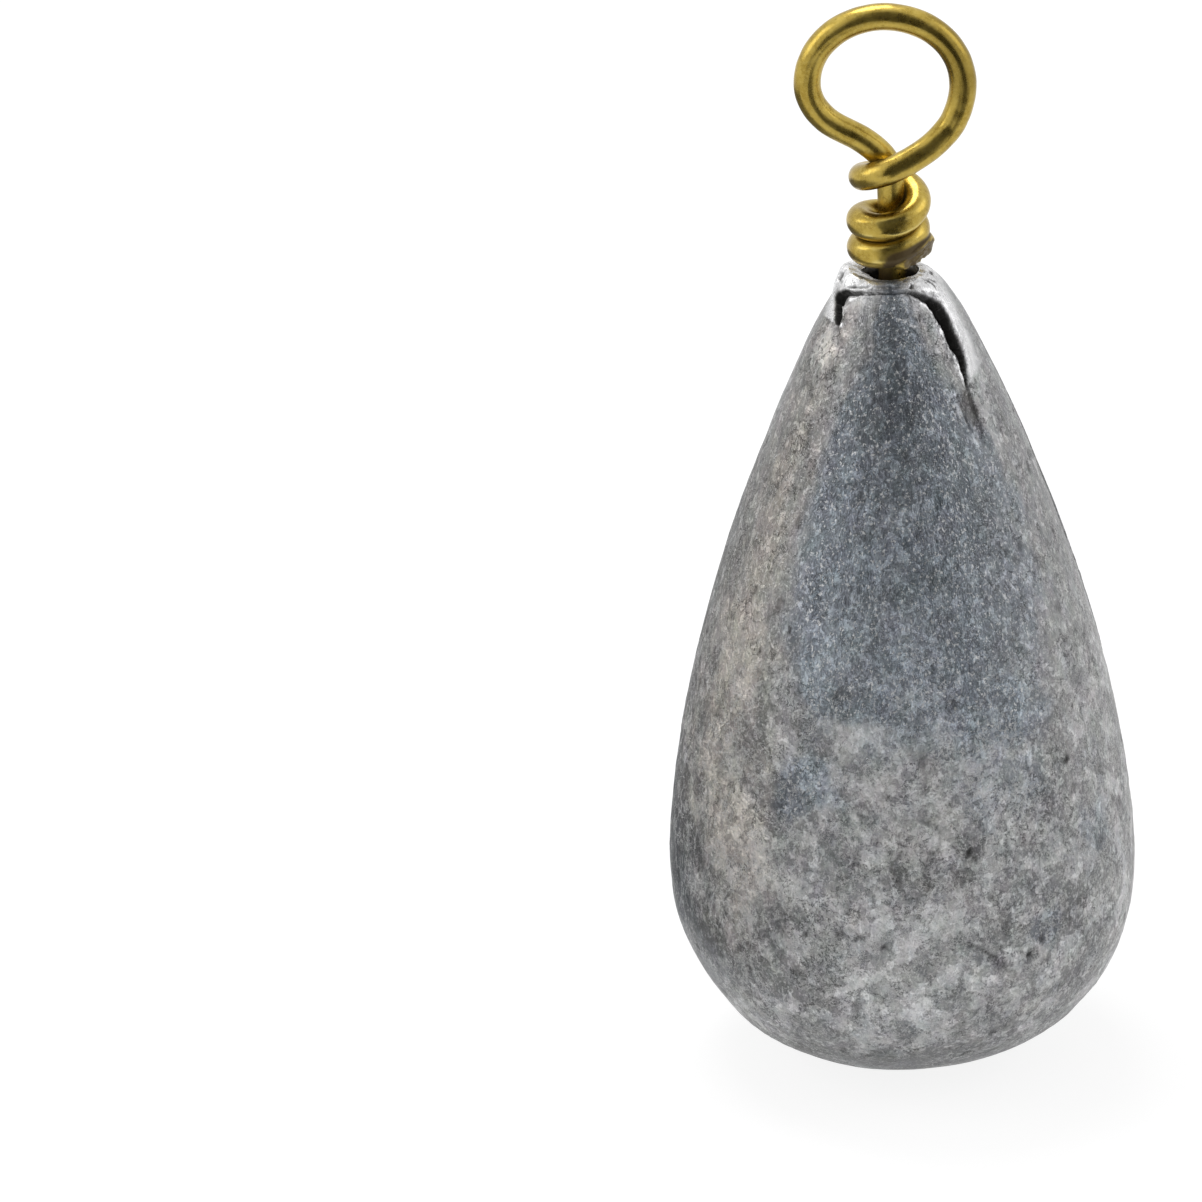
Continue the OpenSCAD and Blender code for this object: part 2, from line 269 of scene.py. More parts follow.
class Surface:
    """The lead's skin in rings of points. Its flat coordinates run along a ring, and down from the crest."""

    def __init__(self):
        profile = lead_profile()
        way = unit(np.gradient(profile, axis=0))
        self.poles = profile[0], profile[-1]
        self.r, self.z = profile[1:-1].T
        self.out_r, self.out_z = way[1:-1, 1], -way[1:-1, 0]
        steps = np.linalg.norm(np.diff(profile, axis=0), axis=1)
        run = np.concatenate([[0], np.cumsum(steps)])[1:-1]
        self.crest = int(np.argmax(self.z))
        self.down = run[self.crest] - run
        self.drop = LIP_Z - self.z
        self.azimuth = np.radians(np.arange(LEAD_SIDES) * 360 / LEAD_SIDES - 180)
        self.across = self.azimuth[None, :] * self.r[:, None]
        self.outside = np.arange(len(self.r)) <= self.crest
        self.points = self.at(self.r[:, None] + self.swell(), self.z)
        self.lift = np.zeros(self.points.shape[:2])
        self.dirt_and_shade = np.zeros_like(self.lift)
        self.wear_and_highlight = np.zeros_like(self.lift)
        self.tone = np.zeros_like(self.lift)
        self.hue = np.zeros_like(self.lift)

    def swell(self):
        """How much further out than its ring each point of the lip and of the mouth lies."""
        lip = LIP_SWELL * hump(np.degrees(self.off(SWELL_AZIMUTH)), SWELL_SPREAD)[None, :]
        azimuths, radii = np.array(MOUTH_EDGE).T
        mouth = (np.interp(np.degrees(self.azimuth), azimuths, radii) - MOUTH_R)[None, :]
        drop = self.drop[:, None]
        outer = lip * np.clip(1 - drop / SWELL_DROP, 0, 1) ** 1.3
        rim = np.clip(drop / MOUTH_RIM, 0, 1)
        below = np.clip(1 - (drop - MOUTH_RIM) / (MOUTH_DEPTH - MOUTH_RIM), 0, 1)
        inner = np.where(drop < MOUTH_RIM, lip + (mouth - lip) * rim, mouth * below)
        return np.where(self.outside[:, None], outer, inner)

    def at(self, r, z):
        x = r * np.sin(self.azimuth)
        y = -r * np.cos(self.azimuth)
        return np.stack([x, y, np.repeat(z[:, None], LEAD_SIDES, axis=1)], axis=-1)

    def off(self, azimuth):
        """How far to the right of an azimuth each column lies, in radians."""
        return (self.azimuth - math.radians(azimuth) + math.pi) % (2 * math.pi) - math.pi

    def darken(self, block, dirt_and_shade):
        """Makes a block of points at least this dark, for dirt and for painted shade."""
        self.dirt_and_shade[block] = np.maximum(self.dirt_and_shade[block], dirt_and_shade)

    def brighten(self, block, wear_and_highlight):
        """Makes a block of points at least this bright, for rubbed metal and for painted highlights."""
        self.wear_and_highlight[block] = np.maximum(self.wear_and_highlight[block], wear_and_highlight)

    def normals(self):
        return self.at(self.out_r[:, None], self.out_z)

    def place(self, azimuth, drop):
        """Flat coordinates and radius of a place on the outside."""
        z = LIP_Z - np.asarray(drop, float)
        outer = slice(0, self.crest + 1)
        r = np.interp(z, self.z[outer], self.r[outer])
        down = np.interp(z, self.z[outer], self.down[outer])
        return np.radians(azimuth) * r, down, r

    def rings_near(self, low, high, margin):
        """Rings of the outside from one flat height to another, and a margin round them."""
        return np.where(self.outside & (self.down > low - margin) & (self.down < high + margin))[0]

    def around(self, azimuth, drop, reach, turn=0.0):
        """The points near a place, and how far sideways and down from it they lie, after a turn."""
        _, down, r = self.place(azimuth, drop)
        rings = self.rings_near(down, down, reach)
        off = self.off(azimuth)
        columns = np.where(np.abs(off) * r < 1.5 * reach)[0]
        u = off[columns][None, :] * self.r[rings][:, None]
        v = np.repeat((self.down[rings] - down)[:, None], len(columns), axis=1)
        c, s = math.cos(math.radians(turn)), math.sin(math.radians(turn))
        return np.ix_(rings, columns), c * u + s * v, c * v - s * u

    def pit(self, azimuth, drop, width, length, depth, turn=0.0, dirt_and_shade=0.6, ragged=0.35):
        """A hollow with a ragged edge, longer along its turned downward axis."""
        block, u, v = self.around(azimuth, drop, 2.2 * max(width, length), turn)
        far = np.hypot(u / width, v / length)
        far = far * (1 + ragged * noise(self.points[block], 0.8 * min(width, length), 61))
        near = np.exp(-far ** 3)
        self.lift[block] -= depth * near
        self.darken(block, dirt_and_shade * near)

    def follow(self, line, margin):
        """The points near a flat line: how far to its side, by which of its points, how far past its ends."""
        rings = self.rings_near(line[:, 1].min(), line[:, 1].max(), margin)
        u, v = self.across[rings], np.repeat(self.down[rings][:, None], LEAD_SIDES, axis=1)
        low, high = line[:, 0].min() - margin, line[:, 0].max() + margin
        columns = np.where((u.max(axis=0) > low) & (u.min(axis=0) < high))[0]
        block = np.ix_(rings, columns)
        spots = np.stack([self.across[block], v[:, columns]], axis=-1)
        way = unit(np.gradient(line[:, :2], axis=0))
        nearest = np.empty(spots.shape[:2], int)
        for i, row in enumerate(spots):
            nearest[i] = np.argmin(((row[:, None, :] - line[None, :, :2]) ** 2).sum(axis=-1), axis=1)
        offset = spots - line[nearest, :2]
        tangent = way[nearest]
        side = tangent[..., 1] * offset[..., 0] - tangent[..., 0] * offset[..., 1]
        past = np.abs((offset * tangent).sum(axis=-1)) * ((nearest == 0) | (nearest == len(line) - 1))
        return block, side, nearest, past

    def scratch(self, points, width, depth, dirt_and_shade=0.5, burr=0.3, broken=0.5):
        """A groove with a raised edge, dark in stretches, along places given as azimuth and drop."""
        points = smooth_line(points, 24)
        u, v, _ = self.place(points[:, 0], points[:, 1])
        block, side, nearest, past = self.follow(np.column_stack([u, v]), 5 * width)
        p = self.points[block]
        side = side + 0.5 * width * noise(p, 3 * width, 62)
        share = np.linspace(-1, 1, len(points))[nearest]
        taper = np.sqrt(np.maximum(0, 1 - share ** 2)) * hump(past, width)
        dark = 1 - broken * (1 - ramp(noise(p, 0.4, 63), -0.3, 0.3))
        self.lift[block] -= depth * taper * hump(side, width)
        self.lift[block] += burr * depth * taper * hump(np.abs(side) - 1.7 * width, 0.6 * width)
        self.darken(block, dirt_and_shade * dark * taper * hump(side, width))


# The fold on the front of the tip, from the foot of the left slit over the top and down the right.
# Azimuth, drop, groove width and depth, rise of the hood outside it, sink of the panel inside it, darkness of
# its painted shadow
FOLD = [
    (-56.0, 2.06, 0.30, 0.30, 0.01, 0.02, 1.00),
    (-57.0, 1.96, 0.36, 0.32, 0.02, 0.03, 1.00),
    (-63.0, 1.62, 0.46, 0.36, 0.05, 0.06, 1.00),
    (-71.0, 1.26, 0.62, 0.38, 0.06, 0.08, 1.00),
    (-72.0, 0.93, 0.60, 0.34, 0.07, 0.10, 1.00),
    (-62.0, 0.61, 0.24, 0.25, 0.08, 0.12, 0.95),
    (-46.0, 0.46, 0.10, 0.17, 0.08, 0.13, 0.85),
    (-30.6, 0.37, 0.07, 0.12, 0.07, 0.13, 0.70),
    (-15.0, 0.32, 0.06, 0.09, 0.06, 0.13, 0.45),
    (-1.6, 0.30, 0.06, 0.08, 0.05, 0.13, 0.35),
    (11.7, 0.31, 0.06, 0.09, 0.05, 0.13, 0.50),
    (19.0, 0.34, 0.07, 0.12, 0.06, 0.14, 0.70),
    (27.0, 0.44, 0.09, 0.15, 0.09, 0.15, 0.80),
    (35.0, 0.63, 0.13, 0.20, 0.12, 0.16, 0.88),
    (45.5, 0.87, 0.26, 0.30, 0.14, 0.17, 0.92),
    (50.8, 1.23, 0.40, 0.37, 0.15, 0.18, 0.95),
    (53.2, 1.61, 0.44, 0.40, 0.16, 0.18, 0.97),
    (53.4, 2.09, 0.43, 0.42, 0.16, 0.17, 1.00),
    (52.8, 2.55, 0.41, 0.42, 0.16, 0.15, 1.00),
    (53.2, 3.06, 0.38, 0.40, 0.15, 0.12, 1.00),
    (53.2, 3.56, 0.30, 0.36, 0.13, 0.09, 1.00),
    (51.6, 4.22, 0.19, 0.28, 0.10, 0.06, 1.00),
    (49.6, 4.76, 0.10, 0.16, 0.08, 0.03, 0.95),
    (48.6, 5.30, 0.07, 0.05, 0.06, 0.02, 0.45),
    (49.2, 6.20, 0.20, 0.05, 0.05, 0.02, 0.30),
    (48.8, 7.40, 0.22, 0.05, 0.03, 0.00, 0.30),
    (47.5, 8.60, 0.18, 0.00, 0.00, 0.00, 0.00),
]
# How far to each side the fold reaches
FOLD_REACH = 3.2
# The hood: how far its edge is rounded, where its crest lies, and how far its rise and its shine spread
HOOD_EDGE = 0.10
HOOD_CREST = 0.36
HOOD_SPREAD = 0.5
HOOD_SHINE = 1.0
# The panel: how far its sink fades out, and the ridge on its worn edge
PANEL_FADE = 1.3
RIDGE_H = 0.05
RIDGE_W = 0.11
# Thin cracks round the fold and on the rim: places, then width, depth and dirt
RIM_CRACKS = [
    ([(-61, 0.44), (-51, 0.32), (-40, 0.24), (-30, 0.19)], 0.05, 0.05, 0.75),
    ([(-30, 0.19), (-14, 0.15), (3, 0.14), (20, 0.17)], 0.04, 0.03, 0.45),
    ([(15, 0.42), (19.5, 0.44), (20.8, 0.56), (20.6, 0.80)], 0.04, 0.05, 0.85),
    ([(52, 0.04), (57, 0.24), (60, 0.46), (58, 0.66)], 0.04, 0.06, 0.75),
    ([(80, 0.10), (82, 0.24)], 0.05, 0.05, 0.60),
    ([(108, 0.10), (114, 0.60), (110, 1.30)], 0.07, 0.08, 0.70),
    ([(-140, 0.05), (-132, 0.50), (-138, 1.10)], 0.06, 0.07, 0.70),
    ([(170, 0.10), (176, 0.40), (172, 0.80)], 0.06, 0.06, 0.60),
]


def fold_tip(skin):
    """The folded panel: a ragged groove, a rounded hood over it and the panel's own rubbed edge, with painted
    shadow in the groove and on the hood's wall, and painted highlights on the hood's crest and along the
    panel's edge.
    """
    line = smooth_line(FOLD, 12)
    u, v, _ = skin.place(line[:, 0], line[:, 1])
    block, side, nearest, past = skin.follow(np.column_stack([u, v]), FOLD_REACH)
    width, depth, rise, sink, shade = (line[nearest, k] for k in range(2, 7))
    p = skin.points[block]
    side = side + (0.02 + 0.07 * depth) * noise(p, 0.30, 71) + (0.01 + 0.06 * depth) * noise(p, 0.14, 72)
    width = width * (1 + 0.16 * noise(p, 0.45, 73))
    fade = 1 - ramp(past, 0.0, 0.09)
    hood = side > 0
    inside = np.maximum(-side, 0)
    beyond = np.maximum(inside - width, 0)
    groove = np.clip(1 - (inside / width) ** 4, 0, 1)
    edge = np.clip(1 - side / HOOD_EDGE, 0, 1)
    hood_lift = rise * hump(side - HOOD_CREST, HOOD_SPREAD) - (0.05 + 0.2 * depth) * edge ** 2
    ridge = RIDGE_H * hump(beyond - RIDGE_W, RIDGE_W) * (inside > width) * ramp(depth, 0.05, 0.2)
    crumbs = 0.025 * noise(p, 0.2, 74)
    panel_lift = -sink * np.exp(-beyond / PANEL_FADE) - depth * groove + ridge + crumbs * groove
    skin.lift[block] += fade * np.where(hood, hood_lift, panel_lift)
    # The groove and the hood's wall over it are painted black as shadow, patchy where the groove is shallow
    patchy = 1 - (0.45 + 0.45 * noise(p, 0.22, 75)) * ramp(1 - shade, 0, 0.25)
    shadow = 1 - ramp(side, 0.01, 0.03 + 0.25 * depth)
    dark = np.where(hood, shadow, ramp(groove, 0.05, 0.5) * patchy) * shade * fade
    skin.darken(block, np.clip(dark, 0, 1))
    # The hood's crest and the panel's edge are made lighter: rubbed metal with painted highlights
    glints = ramp(noise(p, 0.24, 76) + 0.5 * noise(p, 0.11, 77), -0.25, 0.55)
    crest = hump(np.maximum(side - HOOD_CREST, 0), HOOD_SHINE) * ramp(side, 0.05, HOOD_CREST)
    bright = np.where(hood, crest, hump(beyond - RIDGE_W, 1.4 * RIDGE_W) * glints)
    skin.brighten(block, bright * fade * ramp(depth, 0.08, 0.22))
    for points, width, depth, dirt_and_shade in RIM_CRACKS:
        skin.scratch(points, width, depth, dirt_and_shade, broken=0.3)


# Smooth lumps on the lip: azimuth and height
RIM_LUMPS = [(-50, 0.08), (34, 0.07), (150, 0.06)]
# The chip and the pits on the lip: azimuth, drop, width, length, depth, turn, dirt, raggedness
RIM_PITS = [
    (-81, 0.22, 0.15, 0.36, 0.28, 0, 1.0, 0.2),
    (26, 0.22, 0.07, 0.14, 0.06, 50, 0.6, 0.35),
    (66, 0.30, 0.06, 0.26, 0.08, -35, 0.7, 0.35),
]
# The azimuth round which the lip gets no rubbed shine and no painted highlight, and how far to each side
PLAIN_AZIMUTH = -3
PLAIN_SPREAD = 20


def crumple_rim(skin):
    """Lumps, flakes and a chip round the lip, with painted highlights on it and painted shade inside the
    mouth.
    """
    near = hump(skin.drop, 0.75)[:, None]
    flakes = noise(skin.points, 0.34, 21) * 0.6 + noise(skin.points, 0.17, 22) * 0.4
    waves = noise(skin.points, 1.1, 23)
    skin.lift += near * (0.05 * waves + 0.03 * flakes - 0.03)
    degrees = np.degrees(skin.azimuth)
    plain = 1 - hump(degrees - PLAIN_AZIMUTH, PLAIN_SPREAD)[None, :]
    for azimuth, height in RIM_LUMPS:
        skin.lift += height * hump(skin.down - 0.15, 0.3)[:, None] * hump(degrees - azimuth, 15)[None, :]
    skin.lift += LIP_RISE * hump(skin.down, 0.5)[:, None] * hump(degrees - SWELL_AZIMUTH, 40)[None, :]
    # The lip's flakes are lighter, as rubbed metal with painted highlights, except round the front
    skin.brighten(..., near * ramp(flakes, -0.9, 0.0) * plain)
    skin.darken(..., 0.5 * near * ramp(-flakes, 0.48, 0.66))
    # Inside the mouth the lead is painted dark: painted shade
    skin.darken(..., np.where(skin.outside, 0, ramp(skin.drop, 0.12, 0.6))[:, None])
    for pit in RIM_PITS:
        skin.pit(*pit)


# The round dimple at the back: azimuth and drop, radius, depth and height of its raised edge
CUP_PLACE = (180, 3.0)
CUP_R = 0.95
CUP_DEPTH = 0.32
CUP_EDGE = 0.06
# The grooves beside it: the first one's ends, how many there are and how far apart
GROOVE = [(152, 0.55), (158, 1.35)]
GROOVES = 4
GROOVE_PITCH = 3.5
# The small round mark on the panel
MARK_PLACE = (19, 1.55)
MARK_R = 0.27


def tool_marks(skin):
    """The round dimple at the back, the grooves beside it, and the small round mark on the panel."""
    block, u, v = skin.around(*CUP_PLACE, 2.0)
    far = np.hypot(u, v)
    skin.lift[block] -= CUP_DEPTH * np.clip(1 - (far / CUP_R) ** 2, 0, 1)
    skin.lift[block] += CUP_EDGE * hump(far - CUP_R - 0.08, 0.16)
    rubbed = ramp(noise(skin.points[block], 0.45, 24), -0.5, 0.6)
    skin.brighten(block, 0.5 * rubbed * hump(far - CUP_R - 0.05, 0.2))
    for k in range(GROOVES):
        ends = [(azimuth + GROOVE_PITCH * k, drop) for azimuth, drop in GROOVE]
        skin.scratch(ends, 0.07, 0.07, dirt_and_shade=0.35)
    block, u, v = skin.around(*MARK_PLACE, 0.8)
    far, angle = np.hypot(u, 0.9 * v), np.arctan2(v, u)
    # The mark's ring is lighter on two arcs only: painted highlights
    lit = 0.2 + 0.8 * np.maximum(hump(angle - 1.9, 0.7), 0.8 * hump(angle + 0.9, 0.5))
    skin.lift[block] += 0.022 * hump(far - MARK_R, 0.08) - 0.025 * hump(far, 0.18)
    skin.brighten(block, 0.75 * lit * hump(far - MARK_R, 0.07))
    skin.pit(25, 1.53, 0.05, 0.17, 0.04, dirt_and_shade=0.7)


# Where the halves of the mould met: azimuth, first and last drop, height, how far it wanders, seed
PARTING_LIPS = [(-112, 0.9, 26, 0.10, 5, 31), (96, 2.0, 30, 0.06, 4, 32)]


def parting_lip(skin, azimuth, start, end, height, wander, seed):
    """A soft step down the side."""
    line = np.linspace(start, end, 40)
    bend = wander * noise(np.column_stack([line, line, line]), 5.0, seed)
    u, v, _ = skin.place(azimuth + bend, line)
    block, side, nearest, past = skin.follow(np.column_stack([u, v]), 3.0)
    fade = np.sin(np.pi * nearest / (len(line) - 1)) * hump(past, 0.5)
    step = np.where(side > 0, np.exp(-side / 1.1), -0.5 * np.exp(side / 0.25))
    skin.lift[block] += height * fade * step
    skin.darken(block, 0.4 * fade * (side < 0) * np.exp(side / 0.12))


# Broad dents: azimuth, drop, width, length, depth, turn
DENTS = [
    (-72, 37.0, 4.2, 3.2, 0.22, 0),
    (48, 36.2, 3.0, 2.4, 0.12, 20),
    (12, 27.6, 1.3, 0.9, 0.07, 80),
    (3, 27.2, 0.9, 2.0, 0.05, 0),
    (-36, 17.2, 0.6, 1.6, 0.06, 10),
    (46, 6.1, 0.40, 1.0, 0.10, -10),
    (120, 24.0, 2.6, 3.4, 0.12, 30),
    (-140, 30.0, 3.0, 2.0, 0.12, 0),
    (165, 14.0, 1.4, 2.6, 0.08, -20),
    (-115, 12.0, 1.2, 3.0, 0.07, 10),
]
# Small dark pits: azimuth, drop, width, length, depth, turn
PITS = [
    (16.5, 26.9, 0.16, 0.26, 0.10, 20),
    (18.0, 27.3, 0.10, 0.16, 0.07, -30),
    (32.0, 33.0, 0.16, 0.22, 0.10, 40),
    (35.6, 32.3, 0.10, 0.24, 0.08, -10),
    (-38.1, 16.4, 0.08, 0.26, 0.08, 5),
    (-48.3, 17.8, 0.07, 0.20, 0.08, 0),
    (-25.5, 31.3, 0.12, 0.16, 0.06, 0),
    (50.0, 23.7, 0.18, 0.22, 0.05, 30),
    (-5.4, 31.6, 0.12, 0.18, 0.07, 60),
    (152, 9.5, 0.22, 0.34, 0.30, 25),
    (148, 10.2, 0.12, 0.20, 0.16, -30),
    (-160, 21.0, 0.18, 0.26, 0.10, 10),
    (95, 17.0, 0.14, 0.30, 0.09, 0),
]
# Scratches and cracks: places as azimuth and drop, then width, depth and dirt
SCRATCHES = [
    ([(-47.5, 18.6), (-43.5, 19.6), (-38.5, 20.9)], 0.12, 0.10, 0.4),
    ([(-49.0, 18.3), (-46.5, 19.3), (-43.5, 20.3)], 0.07, 0.05, 0.3),
    ([(14.3, 31.5), (20.8, 32.5), (27.1, 33.9)], 0.08, 0.06, 0.7),
    ([(-22.5, 24.8), (-17.3, 24.5), (-12.3, 23.9)], 0.09, 0.05, 0.1),
    ([(-13.7, 38.2), (-4.2, 38.2), (4.7, 38.0), (12, 37.4)], 0.10, 0.05, 0.0),
    ([(-2.4, 25.3), (1.2, 25.0), (8.2, 25.4), (8.5, 26.5), (5.3, 27.2), (5.9, 28.9)], 0.10, 0.05, 0.5),
    ([(5.9, 28.9), (0.9, 29.0), (-2.1, 28.1), (-3.3, 27.3), (-1.0, 26.6), (-2.4, 25.3)], 0.09, 0.05, 0.5),
    ([(-30, 35.2), (-22, 35.4), (-14, 35.3)], 0.08, 0.04, 0.1),
    ([(44.2, 31.2), (44.8, 31.8), (44.4, 32.4)], 0.07, 0.05, 0.8),
    ([(62, 26.0), (70, 27.5), (75, 30.0)], 0.10, 0.05, 0.3),
    ([(39.0, 5.2), (40.5, 6.2), (42.0, 7.0), (45.0, 7.7)], 0.08, 0.06, 0.6),
    ([(110, 15.0), (117, 18.0), (121, 22.0)], 0.10, 0.06, 0.4),
    ([(-170, 25.0), (-158, 26.0), (-150, 28.5)], 0.10, 0.06, 0.5),
    ([(170, 33.0), (178, 31.0)], 0.09, 0.05, 0.4),
    ([(-120, 20.0), (-112, 22.0), (-108, 25.0)], 0.09, 0.05, 0.4),
]
RANDOM_PITS = 150
RANDOM_SCRATCHES = 26


def cast_skin(skin):
    """Lumps, tumbled grain, dents, pits and scratches all over the outside."""
    p = skin.points
    cone = ramp(skin.z, 18, 27)[:, None]
    lumps = 0.055 * noise(p, 7.0, 1) + 0.026 * noise(p, 2.9, 2) + 0.015 * noise(p, 1.3, 3)
    grain = 0.011 * noise(p, (0.55, 0.55, 0.8), 4) + 0.009 * noise(p, 0.3, 5)
    rough = ramp(noise(p, 3.4, 6), -0.3, 0.5) * (1 - 0.7 * cone)
    flutes = 0.012 * noise(p, (0.8, 0.8, 7.0), 7) * cone
    creases = (1 - np.abs(noise(p, 1.2, 8))) ** 4 + 0.6 * (1 - np.abs(noise(p, 0.6, 9))) ** 4
    fade = ramp(skin.down, 0.2, 1.6)[:, None]
    skin.lift += fade * (lumps + grain * (0.5 + rough) + flutes + 0.024 * rough * creases)
    for azimuth, drop, width, length, depth, turn in DENTS:
        skin.pit(azimuth, drop, width, length, depth, turn, dirt_and_shade=0)
    for azimuth, drop, width, length, depth, turn in PITS:
        skin.pit(azimuth, drop, width, length, depth, turn, dirt_and_shade=0.85)
    for points, width, depth, dirt_and_shade in SCRATCHES:
        skin.scratch(points, width, depth, dirt_and_shade)
    chance = np.random.default_rng(7)
    for _ in range(RANDOM_PITS):
        azimuth, drop = chance.uniform(-180, 180), chance.uniform(7, 39)
        size = chance.uniform(0.08, 0.26)
        length, turn = size * chance.uniform(1, 2), chance.uniform(-60, 60)
        skin.pit(azimuth, drop, size, length, 0.03 + 0.1 * size, turn, 0.35)
    for _ in range(RANDOM_SCRATCHES):
        azimuth, drop = chance.uniform(-170, 160), chance.uniform(12, 36)
        turn, length = chance.uniform(0, 2 * math.pi), chance.uniform(1, 3.2)
        end = azimuth + 5 * length * math.cos(turn), drop + length * math.sin(turn)
        middle = (azimuth + end[0]) / 2 + chance.uniform(-1, 1), (drop + end[1]) / 2
        skin.scratch([(azimuth, drop), middle, end], 0.07, 0.03, 0.2)


# The dark blue band down the front of the cone, a painted reflection of the dark space in front: drop, and
# the azimuth of its left and right border
REFLECTION_BAND = [
    (0.0, -16, 23),
    (0.8, -16, 23),
    (2.9, -20, 27),
    (4.4, -26, 35),
    (5.8, -37, 42),
    (7.8, -39, 54),
    (10.5, -41, 60),
    (13.0, -41, 60),
    (15.5, -41, 56),
    (18.0, -38, 51),
    (20.0, -30, 47),
    (24.0, -20, 44),
]
# The drops between which the band fades out
REFLECTION_BAND_END = (17.5, 23.5)
# Patches of tarnish, and patches of painted light and shade: azimuth, drop, half width, half length, turn,
# how much lighter, how much warmer
PATCHES = [
    # A painted highlight on the left of the tip
    (-57, 3.2, 1.0, 1.1, -20, 1.40, 0.10),
    (-34, 3.0, 0.6, 2.4, 0, 0.20, 0.05),
    (-40, 1.9, 0.5, 1.2, 0, 0.35, 0.05),
    (38, 2.6, 0.40, 1.3, 10, 0.60, 0.00),
    (64, 4.0, 0.8, 3.0, 10, 0.40, 0.00),
    (4, 2.8, 0.50, 2.8, 0, -0.45, -0.20),
    (0, 7.0, 1.15, 3.6, 0, -0.30, -0.10),
    (-11, 5.0, 0.35, 3.5, 0, -0.20, 0.20),
    (22, 5.0, 0.50, 2.8, 0, 0.35, -0.10),
    (-2, 0.17, 0.85, 0.15, 0, -1.40, -0.10),
    (45, 6.0, 0.50, 1.15, -12, -1.00, 0.30),
    (37.5, 5.4, 0.28, 0.9, -12, 1.00, 0.10),
    (42, 7.3, 0.35, 0.6, -15, 0.90, 0.10),
    # A painted highlight on the hood's flap
    (55, 6.8, 0.45, 2.2, -8, 0.60, 0.00),
    (30, 9.4, 0.6, 1.0, 0, -0.35, -0.60),
    (-36, 17.2, 0.5, 0.8, 20, -0.60, 0.00),
    (-58, 12.0, 1.3, 6.0, 0, 0.15, 0.25),
    (-60, 19.5, 2.2, 6.5, 0, 0.70, 0.30),
    (-45, 28.0, 3.0, 4.5, 0, 0.80, 0.25),
    (-48, 32.5, 2.6, 2.0, 0, -0.05, 0.25),
    (-14, 19.2, 2.6, 1.3, 0, -0.30, -0.50),
    (-11, 21.2, 1.5, 1.3, 20, 0.75, 0.20),
    (-27, 23.7, 2.4, 1.8, 0, -0.35, -0.60),
    (-12, 25.3, 0.4, 1.0, -25, 0.90, 0.10),
    (-31, 28.3, 0.5, 0.8, 0, 0.35, 0.00),
    (12, 25.4, 0.9, 0.9, 0, 0.60, 0.00),
    (2, 27.2, 1.3, 2.0, 0, -0.90, 0.10),
    (17, 27.0, 0.5, 0.5, 0, -0.60, 0.00),
    (11.5, 28.3, 1.4, 0.5, -10, -0.75, 0.15),
    (10.8, 29.5, 0.8, 1.0, 0, 0.45, 0.00),
    (28, 20.5, 2.8, 2.2, 0, -0.15, -0.50),
    (31, 24.0, 3.0, 2.0, 0, -0.10, -0.35),
    (37, 31.9, 1.1, 1.3, 0, -0.40, -0.40),
    (32, 33.0, 0.6, 0.6, 0, -0.50, 0.00),
    (59, 27.8, 1.5, 1.8, 0, -0.30, -0.40),
    (-31, 34.9, 1.0, 0.8, 0, -0.35, 0.00),
    (-1, 35.1, 2.4, 1.7, 0, 0.50, -0.05),
    (46, 28.5, 2.6, 4.0, 0, -0.35, -0.05),
    (-10, 31.5, 2.5, 1.5, 0, -0.20, 0.00),
    # These two darken the lower left: painted shadow and reflection of a dark neighbour
    (-86, 31.0, 4.5, 8.0, 0, -1.35, -0.45),
    (-66, 35.6, 4.0, 3.4, 0, -1.50, -0.25),
    (76, 17.0, 1.8, 5.0, 0, 0.15, 0.00),
    # Darker at the far right edge: painted shade
    (84, 28.0, 3.0, 6.0, 0, -0.35, 0.00),
    # Darker round the foot: painted shade
    (0, 40.0, 9.0, 1.8, 0, -0.20, -0.15),
    (118, 18.0, 2.2, 6.0, 0, 0.20, 0.45),
    (150, 12.0, 1.6, 5.0, 0, -0.35, -0.50),
    (-150, 22.0, 3.0, 4.0, 20, -0.30, -0.50),
    (180, 26.0, 3.5, 2.6, 0, 0.30, 0.15),
    (-120, 33.0, 3.0, 2.4, 0, -0.25, 0.10),
    (140, 32.0, 2.6, 3.0, 30, 0.30, -0.10),
    (-125, 10.0, 1.2, 4.0, 0, 0.25, 0.35),
    (100, 33.0, 2.4, 2.0, 0, -0.20, -0.20),
]


